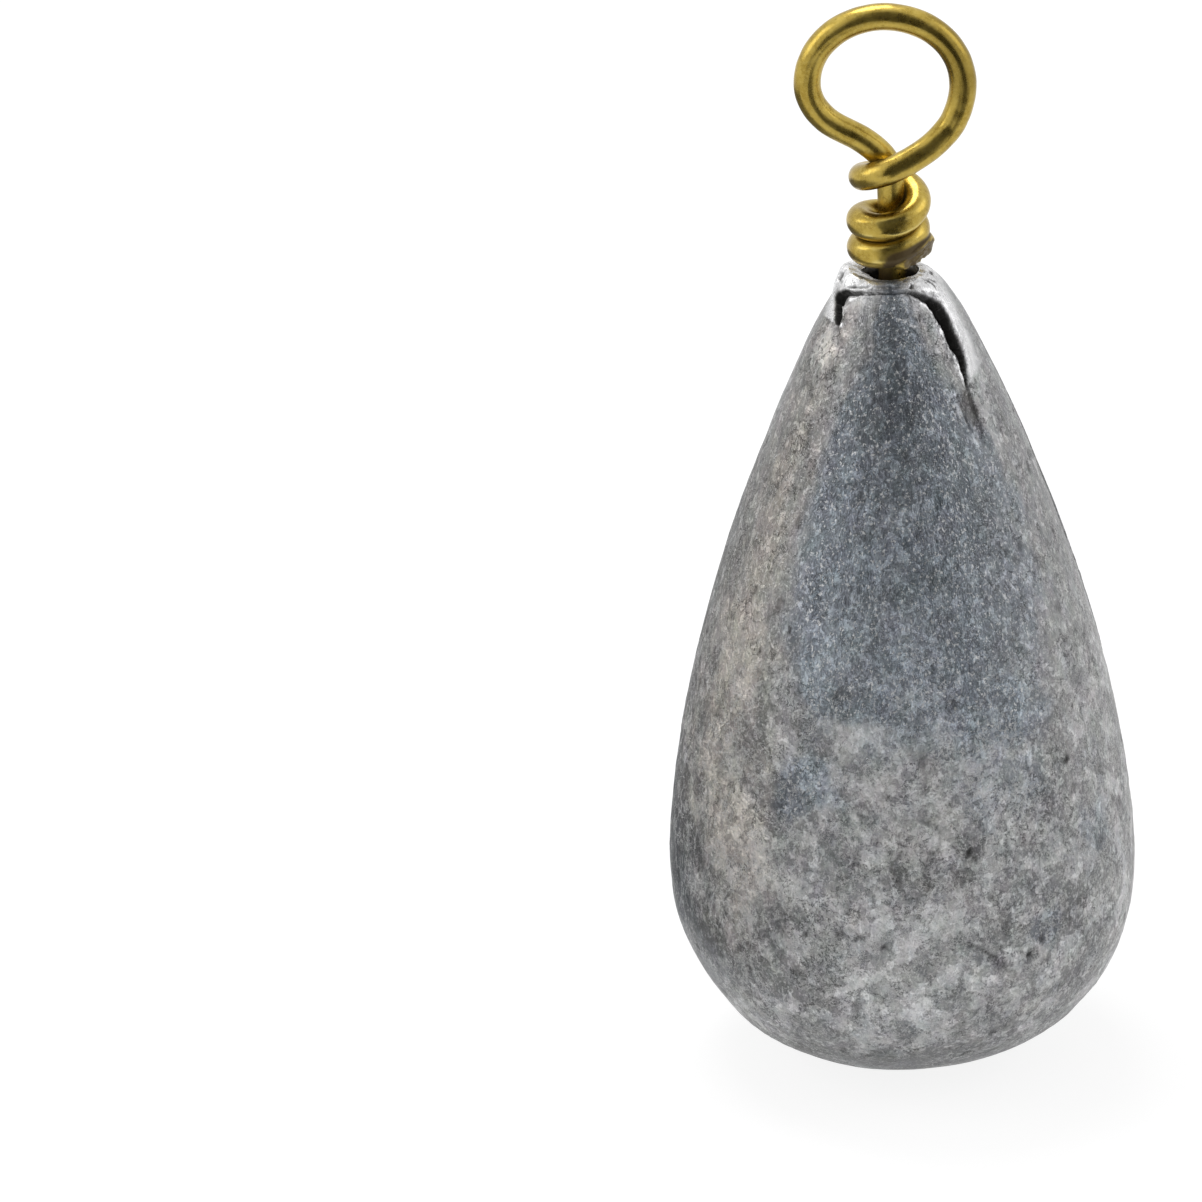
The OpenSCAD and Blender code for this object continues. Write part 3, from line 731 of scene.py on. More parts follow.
def tone_and_painted_light(skin):
    """Where the lead is lighter or darker, and warmer or bluer: tarnished colour, and painted light, shade
    and reflection.
    """
    p = skin.points
    azimuth = np.degrees(skin.azimuth)[None, :]
    ragged = 4.0 * noise(p, (0.9, 0.9, 2.6), 51) + 2.5 * noise(p, (0.4, 0.4, 1.2), 52)
    drops, lefts, rights = np.array(REFLECTION_BAND).T
    left = np.interp(skin.drop, drops, lefts)[:, None]
    right = np.interp(skin.drop, drops, rights)[:, None]
    # The dark blue band is a painted reflection of the dark space in front
    band = ramp(azimuth - left + ragged, -3, 6) * ramp(right - azimuth + 1.5 * ragged, -6, 9)
    low = skin.drop[:, None] + 1.5 * noise(p, 1.8, 53) + 0.8 * noise(p, 0.7, 54)
    band = band * (1 - ramp(low, *REFLECTION_BAND_END)) * skin.outside[:, None]
    warm = ramp(-azimuth + ragged, 30, 44) * (1 - ramp(-azimuth, 74, 96)) * (1 - ramp(low, 26, 34))
    core = ramp(azimuth - left + ragged, 12, 24) * ramp(right - azimuth + ragged, 6, 20)
    # The foot is painted much darker: painted shade, as the shadowed floor under it would be reflected
    foot = ramp(skin.drop, 37.6, 40.2)[:, None] * skin.outside[:, None]
    # Lighter down the front: painted light that offsets the dark reflection there
    ahead = hump(azimuth - 2, 24) * (ramp(skin.drop, 4, 9) - ramp(skin.drop, 32, 38))[:, None]
    skin.tone += 0.70 * ahead - 0.22 * band - 0.04 * band * core - 2.2 * foot
    skin.hue += 0.35 * warm - 0.75 * band * (1 - 0.35 * ramp(azimuth, 18, 40))
    for azimuth, drop, width, length, turn, tone, hue in PATCHES:
        block, u, v = skin.around(azimuth, drop, 1.6 * max(width, length), turn)
        q = skin.points[block]
        size = min(width, length)
        torn = 0.35 * noise(q, 0.9 * size, 55) + 0.25 * noise(q, 0.4 * size, 56)
        near = ramp(1 - np.hypot(u / width, v / length) + torn, -0.1, 0.5)
        skin.tone[block] += tone * near
        skin.hue[block] += hue * near


def make_lead():
    skin = Surface()
    cast_skin(skin)
    for lip in PARTING_LIPS:
        parting_lip(skin, *lip)
    fold_tip(skin)
    tool_marks(skin)
    crumple_rim(skin)
    tone_and_painted_light(skin)
    keep = np.where(skin.outside, 0, ramp(skin.drop, 0.6, 1.7))[:, None]
    skin.lift *= 1 - keep
    points = skin.points + skin.normals() * skin.lift[..., None]
    points[..., 2] = np.maximum(points[..., 2], 0)
    poles = np.array([[0, 0, skin.poles[0][1]], [0, 0, skin.poles[1][1]]])
    # The darkness handed on holds dirt and painted shade, and the lightness holds rubbed metal and painted
    # highlights
    piece = new_tube("lead_teardrop", points, poles, {
        "dirt_and_shade": (skin.dirt_and_shade, 0, 1),
        "wear_and_highlight": (skin.wear_and_highlight, 0, 0),
        "tone": (skin.tone, 0, 0),
        "hue": (skin.hue, 0, 0),
    })
    piece.data.materials.append(lead_material())
    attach(piece, "lead")
    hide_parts("lead_body")
    return piece


# The eye wire. Heights here are above the lip

# The eye: its middle, its radius across, its crown, how far each side hangs, its first and last angle
EYE_X = -0.20
EYE_H = 10.07
EYE_R = 3.84
EYE_CROWN = 3.52
LEFT_DROP = 3.0
RIGHT_DROP = 4.0
EYE_FROM = 235
EYE_TO = -37
# The bend from the shank to the left leg: sideways, forward, height
LEFT_BEND = [
    (0, 0, 3.6),
    (0, 0, 4.4),
    (0, 0, 5.0),
    (-0.1, 0, 5.55),
    (-0.42, 0, 6.13),
    (-0.94, 0, 6.66),
    (-1.6, 0, 7.16),
]
# How far forward the right leg has come at its end, and the points between it and the first wrap
LEG_FORWARD = 0.5
CROSSING = [(1.97, 0.88, 6.89), (0.92, 1.20, 6.30)]
# Turns clockwise from the front crossing, and the height and radius of the wraps there
WRAPS = [
    (0.00, 5.90, 1.38),
    (0.25, 5.02, 1.37),
    (0.50, 4.42, 1.37),
    (0.75, 3.70, 1.38),
    (1.00, 2.90, 1.38),
    (1.25, 2.70, 1.47),
    (1.50, 2.42, 1.36),
    (1.75, 2.18, 1.32),
    (2.00, 1.48, 1.38),
    (2.25, 1.24, 1.47),
    (2.50, 1.14, 1.40),
    (2.68, 1.28, 1.48),
    (2.78, 1.38, 1.68),
    (2.86, 1.28, 1.74),
    (2.93, 1.14, 1.60),
    (2.98, 1.10, 1.50),
]
# How far to the side the middle of the wraps lies
WRAP_X = -0.08
# The cut tail: the turn where it starts, how much thinner it ends, and how it is sheared, outward and down
TAIL_FROM = 2.66
TAIL_THIN = 0.45
SHEAR_OUT = 0.93
SHEAR_DOWN = 0.37
WIRE_SIDES = 56
WIRE_STEP = 0.085
# The winding tool's flats on the wraps: share of the wire's radius that is left, and their tilt
FLAT_DEPTH = 0.87
FLAT_TILT = 6.0


def eye_point(a):
    drop = LEFT_DROP if a > 180 else RIGHT_DROP if a < 0 else EYE_CROWN
    share = (EYE_FROM - a) / (EYE_FROM - EYE_TO)
    t = math.radians(a)
    return EYE_X + EYE_R * math.cos(t), LEG_FORWARD * share ** 3, EYE_H + drop * math.sin(t)


def wire_route():
    """The wire's middle line above its head as x, y, z points a small step apart, and each one's turn."""
    guide = [(*point, -1) for point in LEFT_BEND]
    guide += [(*eye_point(a), -1) for a in np.linspace(EYE_FROM - 6, EYE_TO, 22)]
    guide += [(*point, -0.2) for point in CROSSING]
    for turn, height, radius in smooth_line(WRAPS, 6):
        a = 2 * math.pi * turn
        guide.append((WRAP_X * min(1, 2 * turn) - radius * math.sin(a), radius * math.cos(a), height, turn))
    line = smooth_line(guide, 12)
    line = np.column_stack([line[:, 0], -line[:, 1], LIP_Z + line[:, 2], line[:, 3]])
    line = np.vstack([[[0, 0, wire_low.z + HEAD_T + 0.3, -1]], line])
    run = np.concatenate([[0], np.cumsum(np.linalg.norm(np.diff(line[:, :3], axis=0), axis=1))])
    places = np.linspace(0, run[-1], int(run[-1] / WIRE_STEP) + 1)
    even = np.column_stack([np.interp(places, run, line[:, k]) for k in range(4)])
    return even[:, :3], even[:, 3]


def sweep(line, radii):
    """Rings of points along a line, with frames that never twist, their directions and their angles."""
    way = unit(np.gradient(line, axis=0))
    out = np.array([1.0, 0, 0])
    outs = []
    for t in way:
        out = out - (out @ t) * t
        out = out / np.linalg.norm(out)
        outs.append(out)
    outs = np.array(outs)
    cross = np.cross(way, outs)
    a = np.arange(WIRE_SIDES) * 2 * math.pi / WIRE_SIDES
    ring = np.cos(a)[None, :, None] * outs[:, None, :] + np.sin(a)[None, :, None] * cross[:, None, :]
    return line[:, None, :] + radii[:, None, None] * ring, ring, a


def level_out(line):
    """The level direction from the part's axis to each point of a line, which fades on the axis itself."""
    return unit(line * np.array([1, 1, 0]), 0.01)


def crevice(line, places, reach):
    """How near each point of the wire comes to another stretch of its middle line."""
    run = np.arange(len(line)) * WIRE_STEP
    dark = np.zeros(places.shape[:2])
    for i in range(len(line)):
        others = line[np.abs(run - run[i]) > 4 * WIRE_R]
        if len(others):
            gap = np.sqrt(((places[i][:, None, :] - others[None]) ** 2).sum(axis=-1)).min(axis=1) - WIRE_R
            dark[i] = hump(np.maximum(gap, 0), reach)
    return dark


def wound_flats(line, turns, ring, points):
    """How much the winding tool has flattened the outside of each wrap, and how light the flats' edges are
    made: rubbed brass, with a painted highlight on their lower side.
    """
    outward = level_out(line)
    tilt = np.radians(FLAT_TILT) + 0.20 * noise(line, 1.4, 44)
    facing = outward * np.cos(tilt)[:, None] + np.array([0, 0, 1.0]) * np.sin(tilt)[:, None]
    level = (ring * facing[:, None, :]).sum(axis=-1)
    left = FLAT_DEPTH + 0.035 * noise(points, 0.8, 45) + 0.012 * noise(points, 0.25, 46)
    front = ramp(-outward[:, 1], 0.35, 0.85) + 0.7 * ramp(outward[:, 1], 0.35, 0.85)
    wound = (ramp(turns, 0.7, 1.0) * (1 - ramp(turns, 2.6, 2.8)) * front)[:, None]
    cut = np.maximum(level - left, 0) / np.maximum(level, 0.1) * wound
    # The lower edges are made lighter: a painted highlight
    lower = np.where(ring[..., 2] < 0.1, 1.0, 0.3)
    edge = hump(level - left, 0.05) * wound * lower * ramp(noise(points, 0.4, 47), -0.5, 0.5)
    return cut, edge


def make_wire():
    """The upset head, the shank, the eye and the wraps in one unbroken wire."""
    line, turns = wire_route()
    head_top = wire_low.z + HEAD_T
    head = [
        (HEAD_R - HEAD_BEVEL, wire_low.z),
        (HEAD_R - 0.06, wire_low.z + 0.14),
        (HEAD_R, wire_low.z + HEAD_BEVEL + 0.05),
        (HEAD_R, head_top - 0.08),
        (HEAD_R - 0.05, head_top),
        (WIRE_R + 0.12, head_top),
        (WIRE_R, head_top + 0.12),
    ]
    body = len(head)
    middle = np.vstack([[(0, 0, z) for _, z in head], line])
    turns = np.concatenate([np.full(body, -1.0), turns])
    run = np.arange(len(middle)) * WIRE_STEP
    tail = np.clip((turns - TAIL_FROM) / (turns[-1] - TAIL_FROM), 0, 1)
    radii = np.concatenate([[r for r, _ in head], np.full(len(line), WIRE_R)])
    radii = radii * (1 - TAIL_THIN * tail ** 1.5)
    points, ring, angle = sweep(middle, radii)
    cut, edge = wound_flats(middle, turns, ring, points)
    dents = 0.012 * noise(points, 1.3, 41) + 0.006 * noise(points, 0.45, 42)
    up = (ring * np.array([0, 0, 1.0])).sum(axis=-1)
    squashed = 0.045 * ramp(turns, 0.8, 1.0)[:, None] * up ** 2
    # The end is sheared off from outside and below, which leaves a ragged face, painted dark as shade
    level = SHEAR_OUT * (ring * level_out(middle)[:, None, :]).sum(axis=-1) - SHEAR_DOWN * up
    burr = noise(points, 0.22, 43)
    left = 1.05 - 0.8 * (ramp(tail, 0.15, 0.5) - ramp(tail, 0.74, 0.92))[:, None] + 0.12 * burr
    sheared = np.maximum(level - left, 0) / np.maximum(level, 0.1)
    lift = dents + squashed - radii[:, None] * np.maximum(cut, sheared)
    lift[:body] = 0
    points = points + ring * lift[..., None]
    # Near other stretches of wire the brass is painted darker: painted shade between the wraps
    near = crevice(middle, points, 0.10)
    near[:body + 4] = 0
    face = ramp(sheared, 0.0, 0.08) * (tail[:, None] > 0)
    # The shank is painted darker on the left where it goes into the mouth: painted shade
    foot = hump(points[..., 2] - LIP_Z + 0.2, 0.9) * (turns < -0.5)[:, None]
    inner = ramp(0.2 - points[..., 0], -0.1, 0.3) * foot
    # All of this darkness is painted shade: between the wraps, on the cut face and on the shank at the mouth
    dark = np.maximum.reduce([near, (0.9 + 0.1 * burr) * face, inner])
    ends = np.array([[0, 0, wire_low.z], points[-1].mean(axis=0)])
    piece = new_tube("twisted_eye_wire", points, ends, {
        "dirt_and_shade": (dark, 0, 1),
        "wear_and_highlight": (edge, 0, 0),
        "along": (run[:, None], 0, run[-1]),
        "round_x": (np.cos(angle), 0, 0),
        "round_y": (np.sin(angle), 0, 0),
    })
    piece.data.materials.append(brass_material("wire_brass", drawn=True))
    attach(piece, "eye")
    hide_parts("eye_wire")
    return piece


# The barrel

BARREL_SIDES = 96
# Its floor, the bore in its neck, the chamber for the wire's head, and how its corners are rounded
BARREL_FLOOR = 1.3
NECK_BORE_R = 0.725
CHAMBER_R = 1.345
CHAMBER_H = 1.2
BARREL_EDGE = 0.3
BARREL_ROUND = 0.12
# How dirty it is, and how far its drawn lines are stretched along it
BARREL_DIRT = 0.25
LINE_STRETCH = 0.2


def rounded(points, radius, steps):
    """A closed outline with each corner rounded, as far as its sides allow."""
    p = [np.array(q, float) for q in points]
    line = [p[0]]
    for a, b, c in zip(p, p[1:], p[2:]):
        cut = min(radius, np.linalg.norm(a - b) / 2.2, np.linalg.norm(c - b) / 2.2)
        start = b + cut * (a - b) / np.linalg.norm(a - b)
        end = b + cut * (c - b) / np.linalg.norm(c - b)
        t = np.linspace(0, 1, steps)[:, None]
        line += list((1 - t) ** 2 * start + 2 * t * (1 - t) * b + t * t * end)
    return np.array(line + [p[-1]])


def make_barrel():
    """The brass barrel in the lead, with turned edges and a rolled neck."""
    base, top = barrel_low.z, barrel_high.z
    chamber = base + BARREL_FLOOR
    ceiling = chamber + CHAMBER_H
    shoulder = ceiling + BARREL_R - NECK_R
    outline = rounded([
        (0, base),
        (BARREL_R - BARREL_EDGE, base),
        (BARREL_R, base + BARREL_EDGE),
        (BARREL_R, ceiling),
        (NECK_R, shoulder),
        (NECK_R, top),
        (NECK_BORE_R, top),
        (NECK_BORE_R, ceiling),
        (CHAMBER_R, ceiling),
        (CHAMBER_R, chamber),
        (0, chamber),
    ], BARREL_ROUND, 6)
    a = np.arange(BARREL_SIDES) * 2 * math.pi / BARREL_SIDES
    r, z = outline[1:-1].T
    heights = np.repeat(z[:, None], BARREL_SIDES, axis=1)
    points = np.stack([r[:, None] * np.sin(a), -r[:, None] * np.cos(a), heights], axis=-1)
    piece = new_tube("brass_barrel", points, [[0, 0, base], [0, 0, chamber]], {
        "dirt_and_shade": (BARREL_DIRT, BARREL_DIRT, BARREL_DIRT),
        "wear_and_highlight": (0, 0, 0),
        "along": (points[..., 2] * LINE_STRETCH, base * LINE_STRETCH, chamber * LINE_STRETCH),
        "round_x": (points[..., 0], 0, 0),
        "round_y": (points[..., 1], 0, 0),
    })
    piece.data.materials.append(brass_material("barrel_brass", drawn=False))
    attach(piece, "barrel")
    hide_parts("swivel_barrel")
    return piece


# Materials

def add(tree, kind, inputs=None, **settings):
    """A shader node with its settings and inputs, each a value or another node's output."""
    made = tree.nodes.new(kind)
    for key, value in settings.items():
        setattr(made, key, value)
    for key, value in (inputs or {}).items():
        if isinstance(value, bpy.types.NodeSocket):
            tree.links.new(value, made.inputs[key])
        else:
            made.inputs[key].default_value = value
    return made


def mix(tree, factor, a, b, blend="MIX"):
    """Two colours mixed by a factor."""
    made = add(tree, "ShaderNodeMix", data_type="RGBA", blend_type=blend)
    for socket, value in zip((made.inputs[0], made.inputs[6], made.inputs[7]), (factor, a, b)):
        if isinstance(value, bpy.types.NodeSocket):
            tree.links.new(value, socket)
        else:
            socket.default_value = value
    return made.outputs[2]


def maths(tree, operation, a, b=0.0, clamp=False):
    return add(tree, "ShaderNodeMath", {0: a, 1: b}, operation=operation, use_clamp=clamp).outputs[0]


def times(tree, a, b):
    return maths(tree, "MULTIPLY", a, b)


def less(tree, a, b, clamp=False):
    return maths(tree, "SUBTRACT", a, b, clamp)


def blend_in(tree, *parts):
    """The sum of values, each times its weight."""
    total = 0.0
    for value, weight in parts:
        inputs = {0: value, 1: weight, 2: total}
        total = add(tree, "ShaderNodeMath", inputs, operation="MULTIPLY_ADD").outputs[0]
    return total


def span(tree, value, low, high, to_low=0.0, to_high=1.0):
    """A value mapped from one range to another, and clamped."""
    inputs = {"Value": value, "From Min": low, "From Max": high, "To Min": to_low, "To Max": to_high}
    return add(tree, "ShaderNodeMapRange", inputs, interpolation_type="SMOOTHSTEP").outputs["Result"]


def texture(tree, place, size, detail=4.0, rough=0.6, stretch=(1, 1, 1), shift=0.0, twist=0.0, output=0):
    """Noise whose lumps have a size in millimetres. A stretch above 1 makes them longer that way."""
    scaled = add(tree, "ShaderNodeMapping", {
        "Vector": place,
        "Scale": [1 / (MM * size * s) for s in stretch],
        "Location": (shift, 2 * shift, -shift),
    })
    return add(tree, "ShaderNodeTexNoise", {
        "Vector": scaled.outputs[0],
        "Scale": 1.0,
        "Detail": detail,
        "Roughness": rough,
        "Distortion": twist,
    }).outputs[output]


def veins(tree, place, size, width, shift):
    """1 along thin lines that wander, only where a second noise is high."""
    wander = texture(tree, place, size, 5.0, 0.70, (1, 1, 1), shift, 0.2)
    near = span(tree, maths(tree, "ABSOLUTE", less(tree, wander, 0.5)), 0.0, width, 1.0, 0.0)
    return times(tree, near, span(tree, texture(tree, place, 2.3, 3.0, 0.6, shift=-shift), 0.44, 0.54))


def centred(tree, value, share):
    """A noise's difference from its middle, times a share."""
    return times(tree, less(tree, value, 0.5), share)


def value_of(tree, name):
    return add(tree, "ShaderNodeAttribute", attribute_name=name).outputs["Fac"]


def grey(level, tint=(1, 1, 1)):
    return tuple(level * t for t in tint) + (1,)


def start_material(name):
    material = bpy.data.materials.new(name)
    material.use_nodes = True
    tree = material.node_tree
    tree.nodes.clear()
    place = add(tree, "ShaderNodeTexCoord").outputs["Object"]
    output = add(tree, "ShaderNodeOutputMaterial")
    return material, tree, place, output


def join_surface(tree, output, colour, rough, metal, bumps, strength, high):
    """The surface's shader, with bumps as high as given in metres."""
    bump = add(tree, "ShaderNodeBump", {"Height": bumps, "Strength": strength, "Distance": high})
    shader = add(tree, "ShaderNodeBsdfPrincipled", {
        "Base Color": colour,
        "Roughness": rough,
        "Metallic": metal,
        "Normal": bump.outputs[0],
    })
    tree.links.new(shader.outputs[0], output.inputs[0])


def lead_material():
    """Cast lead, tumbled and tarnished: mottled and torn greys with bright grains and flecks, painted
    sparkles, painted glints along thin edges, painted highlights and painted shade.
    """
    material, tree, place, output = start_material("tarnished_lead")
    dirt_and_shade, wear_and_highlight, tone, hue = (value_of(tree, name) for name in ("dirt_and_shade", "wear_and_highlight", "tone", "hue"))
    height = add(tree, "ShaderNodeSeparateXYZ", {0: place}).outputs["Z"]
    cone = span(tree, height, 17 * MM, 29 * MM)
    belly = less(tree, 1.0, cone)
    salty = span(tree, hue, -0.75, -0.3, 1.0, 0.5)
    round_mottle = centred(tree, texture(tree, place, 2.0, 5.5, 0.90, (1, 1, 1.15), 0.0, 0.1), belly)
    long_mottle = centred(tree, texture(tree, place, 0.6, 4.0, 0.85, (1, 1, 3.5), 11.0, 0.2), cone)
    mottle = blend_in(tree, (round_mottle, 1.2), (long_mottle, 0.9), (0.5, 1.0))
    blotch = texture(tree, place, 4.5, 3.0, 0.6, (1, 1, 1.4), 4.0)
    grain = centred(tree, texture(tree, place, 0.13, 1.5, 0.8, (1, 1, 1.3), 9.0), salty)
    flecks = span(tree, texture(tree, place, 0.42, 4.0, 0.72, (1, 1, 1.2), 13.0, 0.3), 0.54, 0.58)
    torn = span(tree, texture(tree, place, 1.6, 6.0, 0.74, (1, 1, 1.1), 41.0, 0.2), 0.50, 0.52)
    torn = times(tree, torn, belly)
    cracks = veins(tree, place, 1.5, 0.014, 17.0)
    # Thin light lines: painted glints, as on edges that catch the light
    painted_edge_glints = times(tree, veins(tree, place, 0.9, 0.024, 51.0), belly)
    # The tone attribute holds tarnish, and painted light, shade and reflection
    light = blend_in(
        tree,
        (mottle, 0.56),
        (blotch, 0.16),
        (grain, 0.32),
        (flecks, 0.11),
        (torn, 0.11),
        (cracks, -0.20),
        (tone, 0.115),
        (-0.004, 1.0),
    )
    colour = mix(tree, span(tree, light, 0.235, 0.78), grey(0.14), grey(0.80))
    # Warm and blue tints; the blue down the front is part of the painted reflection
    warm = span(tree, blend_in(tree, (hue, 1.0), (mottle, 0.8)), 0.4, 1.2)
    cold = span(tree, blend_in(tree, (hue, -1.0), (mottle, -1.2), (0.95, 1.0)), 0.2, 1.15)
    colour = mix(tree, warm, colour, (1.06, 0.99, 0.90, 1), "MULTIPLY")
    colour = mix(tree, cold, colour, (0.885, 0.985, 1.105, 1), "MULTIPLY")
    tinge = texture(tree, place, 1.1, 4.0, 0.75, (1, 1, 1.5), 21.0, output=1)
    colour = mix(tree, 0.10, colour, tinge, "OVERLAY")
    # Tiny light spots: painted sparkles
    painted_sparkles = span(tree, texture(tree, place, 0.16, 2.0, 0.75, (1, 1, 1.4), 27.0), 0.56, 0.67, 0.0, 0.75)
    colour = mix(tree, times(tree, painted_sparkles, salty), colour, grey(0.74))
    colour = mix(tree, times(tree, painted_edge_glints, 0.8), colour, grey(0.74))
    specks = span(tree, texture(tree, place, 0.30, 3.0, 0.75, (1, 1, 1.3), 33.0), 0.37, 0.29, 0.0, 0.45)
    colour = mix(tree, specks, colour, grey(0.07))
    # Lighter where rubbed, and lighter still for the painted highlights on the hood, the rim and the edges
    worn_and_lit = times(tree, wear_and_highlight, span(tree, mottle, 0.36, 0.56, 0.65, 1.0))
    colour = mix(tree, worn_and_lit, colour, grey(0.86, (1, 1, 1.01)))
    # Darker with grime, and with painted shade in the fold's groove, under the hood and inside the mouth
    dirty_and_shaded = maths(tree, "MULTIPLY", dirt_and_shade, span(tree, mottle, 0.3, 0.7, 1.2, 0.95), clamp=True)
    colour = mix(tree, dirty_and_shaded, colour, grey(0.012, (1, 0.92, 0.8)))
    rough = span(tree, mottle, 0.35, 0.65, 0.32, 0.46)
    rough = less(tree, rough, times(tree, worn_and_lit, 0.16))
    rough = maths(tree, "ADD", rough, times(tree, dirt_and_shade, 0.45), clamp=True)
    metal = less(tree, 0.70, times(tree, dirt_and_shade, 0.70), clamp=True)
    bumps = blend_in(
        tree,
        (mottle, 1.3),
        (grain, 0.45),
        (flecks, 0.15),
        (torn, 0.30),
        (painted_edge_glints, 0.4),
        (cracks, -0.6),
        (specks, -0.15),
        (1.0, -0.7),
    )
    bumps = times(tree, bumps, less(tree, 1.0, times(tree, wear_and_highlight, 0.75)))
    join_surface(tree, output, colour, rough, metal, bumps, 1.0, 0.09 * MM)
    return material


# The part of the eye that is painted darker and browner, a painted reflection of a dark neighbour: where it
# starts and ends, to the right and up
DARK_REFLECTION_X = (1.6, 3.2)
DARK_REFLECTION_H = (8.6, 10.4)


def brass_material(name, drawn):
    """Satin brass with lines along the wire and cloudy tarnished patches, nearly black in the crevices, on
    the cut face and at the shank's foot as painted shade, darker on the eye's upper right as a painted
    reflection, and lighter on the flats' edges as rubbed brass with painted highlights.
    """
    material, tree, place, output = start_material(name)
    dirt_and_shade, wear_and_highlight = value_of(tree, "dirt_and_shade"), value_of(tree, "wear_and_highlight")
    at = add(tree, "ShaderNodeSeparateXYZ", {0: place}).outputs
    right = span(tree, at["X"], *(MM * x for x in DARK_REFLECTION_X))
    high = span(tree, at["Z"], *(MM * (LIP_Z + h) for h in DARK_REFLECTION_H))
    sides = {"X": value_of(tree, "round_x"), "Y": value_of(tree, "round_y"), "Z": value_of(tree, "along")}
    along = add(tree, "ShaderNodeCombineXYZ", sides).outputs[0]
    squeezed = add(tree, "ShaderNodeMapping", {"Vector": along, "Scale": (8, 8, 0.7)}).outputs[0]
    lines = add(tree, "ShaderNodeTexNoise", {"Vector": squeezed, "Scale": 1.0, "Detail": 4.0}).outputs[0]
    cloud = texture(tree, place, 1.1, 5.0, 0.7)
    fine = texture(tree, place, 0.16, 3.0, 0.7, (1, 1, 1), 7.0)
    colour = mix(tree, span(tree, cloud, 0.34, 0.66), (0.34, 0.235, 0.042, 1), (0.51, 0.375, 0.082, 1))
    colour = mix(tree, span(tree, fine, 0.42, 0.72, 0.0, 0.45), colour, (0.58, 0.45, 0.13, 1))
    stain = span(tree, texture(tree, place, 0.5, 5.0, 0.75, (1, 1, 1), 15.0), 0.56, 0.70, 0.0, 0.5)
    colour = mix(tree, stain, colour, (0.20, 0.13, 0.03, 1))
    # Darker on the eye's upper right: a painted reflection
    dark_reflection = times(tree, right, times(tree, high, 0.55))
    colour = mix(tree, dark_reflection, colour, (0.20, 0.14, 0.03, 1))
    # Lighter on the flats' edges: rubbed brass with painted highlights
    colour = mix(tree, times(tree, wear_and_highlight, 0.6), colour, (0.86, 0.74, 0.30, 1))
    # Darker with the barrel's grime, and with painted shade between the wraps, on the cut face and at the
    # shank's foot
    colour = mix(tree, times(tree, dirt_and_shade, 0.92), colour, (0.05, 0.028, 0.008, 1))
    rough = span(tree, cloud, 0.3, 0.7, 0.24, 0.34)
    rough = maths(tree, "ADD", rough, times(tree, dirt_and_shade, 0.2))
    metal = less(tree, 1.0, times(tree, dirt_and_shade, 0.7), clamp=True)
    bumps = blend_in(tree, (lines, 0.7 if drawn else 0.3), (fine, 0.35))
    join_surface(tree, output, colour, rough, metal, bumps, 0.35, 0.02 * MM)
    return material


# The stage: a white floor, soft lights, and dim cards that only reflections see

FLOOR_SIZE = 4.0
FLOOR_SINK = -0.02
# How much of the floor glows for seen rays, how strongly it glows, and its own grey
FLOOR_GLOW = 0.72
FLOOR_WHITE = 1.2
FLOOR_SHADE = 0.85
# Strength of the world's white for diffuse rays and for seen rays
WORLD_FILL = 0.40
WORLD_WHITE = 1.0
# Soft lights, in metres and watts: place, size, power
LIGHTS = {
    "top_light": ((-0.06, 0.14, 0.38), (0.22, 0.16), 0.66),
    "left_light": ((-0.35, -0.02, 0.21), (0.20, 0.24), 0.27),
    "right_light": ((0.35, 0.0, 0.21), (0.20, 0.24), 0.20),
}
LIGHTS_AIM = (0, 0, 0.025)
# A standing dark card in front, in metres: azimuth, distance, width, lowest and highest edge, glow
FRONT_CARD = (2.0, 0.19, 0.26, 0.0, 0.70, 0.08)
# Cards that lie just over the floor, in metres: middle, width, depth, glow
MATS = {
    "left_mat": ((-0.062, 0.03, 0.0015), 0.09, 0.12, 0.22),
    "front_mat": ((0.065, -0.13, 0.0015), 0.12, 0.12, 0.16),
}


def seen_rays(tree):
    """1 for rays from the camera, and for mirror and glass rays, which count as seen rays here."""
    path = add(tree, "ShaderNodeLightPath").outputs
    total = maths(tree, "ADD", path["Is Camera Ray"], path["Is Glossy Ray"])
    return maths(tree, "ADD", total, path["Is Transmission Ray"], clamp=True)


def put(obj, place, facing, axis):
    """Adds an object to the scene at a place, with one of its axes toward a point."""
    bpy.context.scene.collection.objects.link(obj)
    obj.location = place
    obj.rotation_euler = (Vector(facing) - Vector(place)).to_track_quat(axis, "Y").to_euler()


def flat_plane(name, width, height, place, facing):
    """A rectangle, width by height in metres, that faces a point."""
    mesh = bpy.data.meshes.new(name)
    w, h = width / 2, height / 2
    mesh.from_pydata([(-w, -h, 0), (w, -h, 0), (w, h, 0), (-w, h, 0)], [], [(0, 1, 2, 3)])
    obj = bpy.data.objects.new(name, mesh)
    put(obj, place, facing, "Z")
    return obj


def make_floor():
    floor = flat_plane("floor", FLOOR_SIZE, FLOOR_SIZE, (0, 0, FLOOR_SINK * MM), (0, 0, 1))
    material, tree, _, output = start_material("white_floor")
    plain = add(tree, "ShaderNodeBsdfDiffuse", {"Color": grey(FLOOR_SHADE)}).outputs[0]
    glow = add(tree, "ShaderNodeEmission", {"Color": grey(1.0), "Strength": FLOOR_WHITE}).outputs[0]
    share = times(tree, seen_rays(tree), FLOOR_GLOW)
    mixed = add(tree, "ShaderNodeMixShader", {0: share, 1: plain, 2: glow})
    tree.links.new(mixed.outputs[0], output.inputs[0])
    floor.data.materials.append(material)


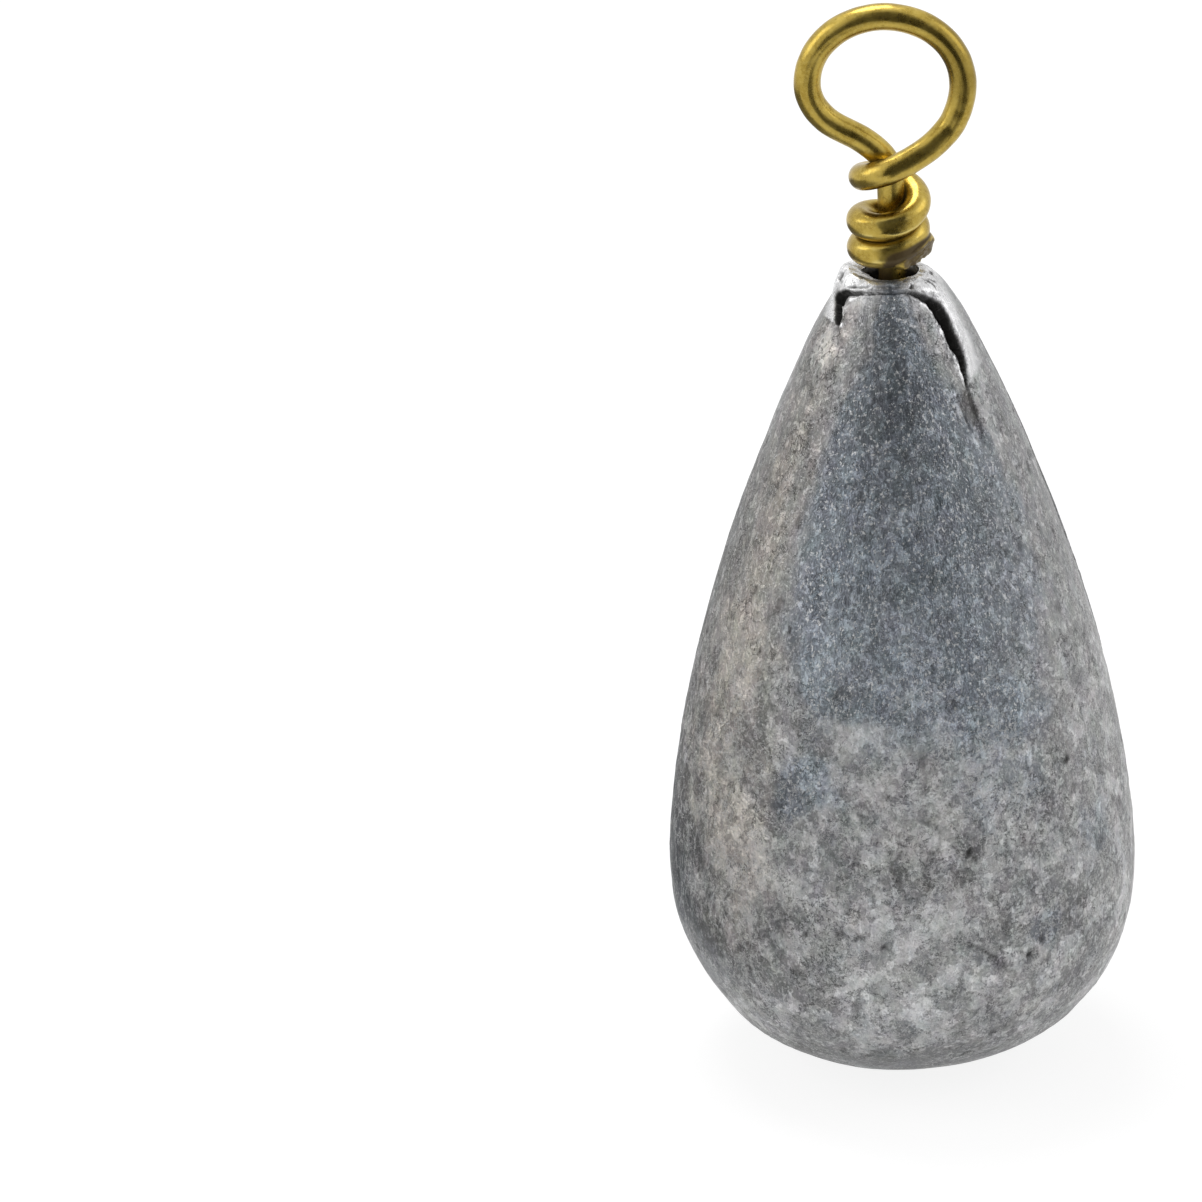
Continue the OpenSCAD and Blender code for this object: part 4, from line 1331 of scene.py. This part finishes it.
def only_reflected(card, glow):
    """Gives a card its dim glow, and hides it from all but mirror rays."""
    material, tree, _, output = start_material(card.name + "_cloth")
    light = add(tree, "ShaderNodeEmission", {"Color": grey(1.0), "Strength": glow})
    tree.links.new(light.outputs[0], output.inputs[0])
    card.data.materials.append(material)
    card.visible_camera = False
    card.visible_diffuse = False
    card.visible_shadow = False
    card.visible_transmission = False


def make_cards():
    azimuth, far, width, low, high, glow = FRONT_CARD
    a = math.radians(azimuth)
    forward = Vector((math.sin(a), -math.cos(a), 0))
    middle = forward * far + Vector((0, 0, (low + high) / 2))
    only_reflected(flat_plane("front_card", width, high - low, middle, middle - forward), glow)
    for name, (place, width, depth, glow) in MATS.items():
        only_reflected(flat_plane(name, width, depth, place, (place[0], place[1], 1)), glow)


def make_world():
    world = bpy.data.worlds.new("studio")
    bpy.context.scene.world = world
    world.use_nodes = True
    tree = world.node_tree
    tree.nodes.clear()
    fill = add(tree, "ShaderNodeBackground", {"Color": grey(1.0), "Strength": WORLD_FILL})
    white = add(tree, "ShaderNodeBackground", {"Color": grey(1.0), "Strength": WORLD_WHITE})
    mixed = add(tree, "ShaderNodeMixShader", {0: seen_rays(tree), 1: fill.outputs[0], 2: white.outputs[0]})
    output = add(tree, "ShaderNodeOutputWorld")
    tree.links.new(mixed.outputs[0], output.inputs[0])


def make_light(name, place, size, power):
    data = bpy.data.lights.new(name, "AREA")
    data.shape = "RECTANGLE"
    data.size, data.size_y = size
    data.energy = power
    put(bpy.data.objects.new(name, data), place, LIGHTS_AIM, "-Z")


# The camera, placed by the photograph's pixels

FRAME_PX = 1202
PX_PER_MM = 20.1
ELEVATION = 24.0
LEAN = 1.27
LENS = 800.0
SENSOR = 36.0
# A point on the axis at mid height, and its pixel
SIGHT_Z = 25.0
SIGHT_PX = (897.5, 577.5)


def make_camera():
    data = bpy.data.cameras.new("camera")
    data.lens, data.sensor_width = LENS, SENSOR
    data.clip_start, data.clip_end = 0.01, 20.0
    camera = bpy.data.objects.new("camera", data)
    bpy.context.scene.collection.objects.link(camera)
    bpy.context.scene.camera = camera
    e, lean = math.radians(ELEVATION), math.radians(LEAN)
    level, rise = Vector((1, 0, 0)), Vector((0, math.sin(e), math.cos(e)))
    back = Vector((0, -math.cos(e), math.sin(e)))
    right = level * math.cos(lean) - rise * math.sin(lean)
    up = level * math.sin(lean) + rise * math.cos(lean)
    off_x, off_y = FRAME_PX / 2 - SIGHT_PX[0], SIGHT_PX[1] - FRAME_PX / 2
    aim = Vector((0, 0, SIGHT_Z)) + (right * off_x + up * off_y) / PX_PER_MM
    away = FRAME_PX / PX_PER_MM * LENS / SENSOR
    turn = Matrix((right, up, back)).transposed().to_4x4()
    camera.matrix_world = Matrix.Translation((aim + back * away) * MM) @ turn


def make_stage():
    make_world()
    make_floor()
    make_cards()
    for name, (place, size, power) in LIGHTS.items():
        make_light(name, place, size, power)
    make_camera()
    bpy.context.scene.view_settings.view_transform = "Standard"


make_lead()
make_barrel()
make_wire()
make_stage()
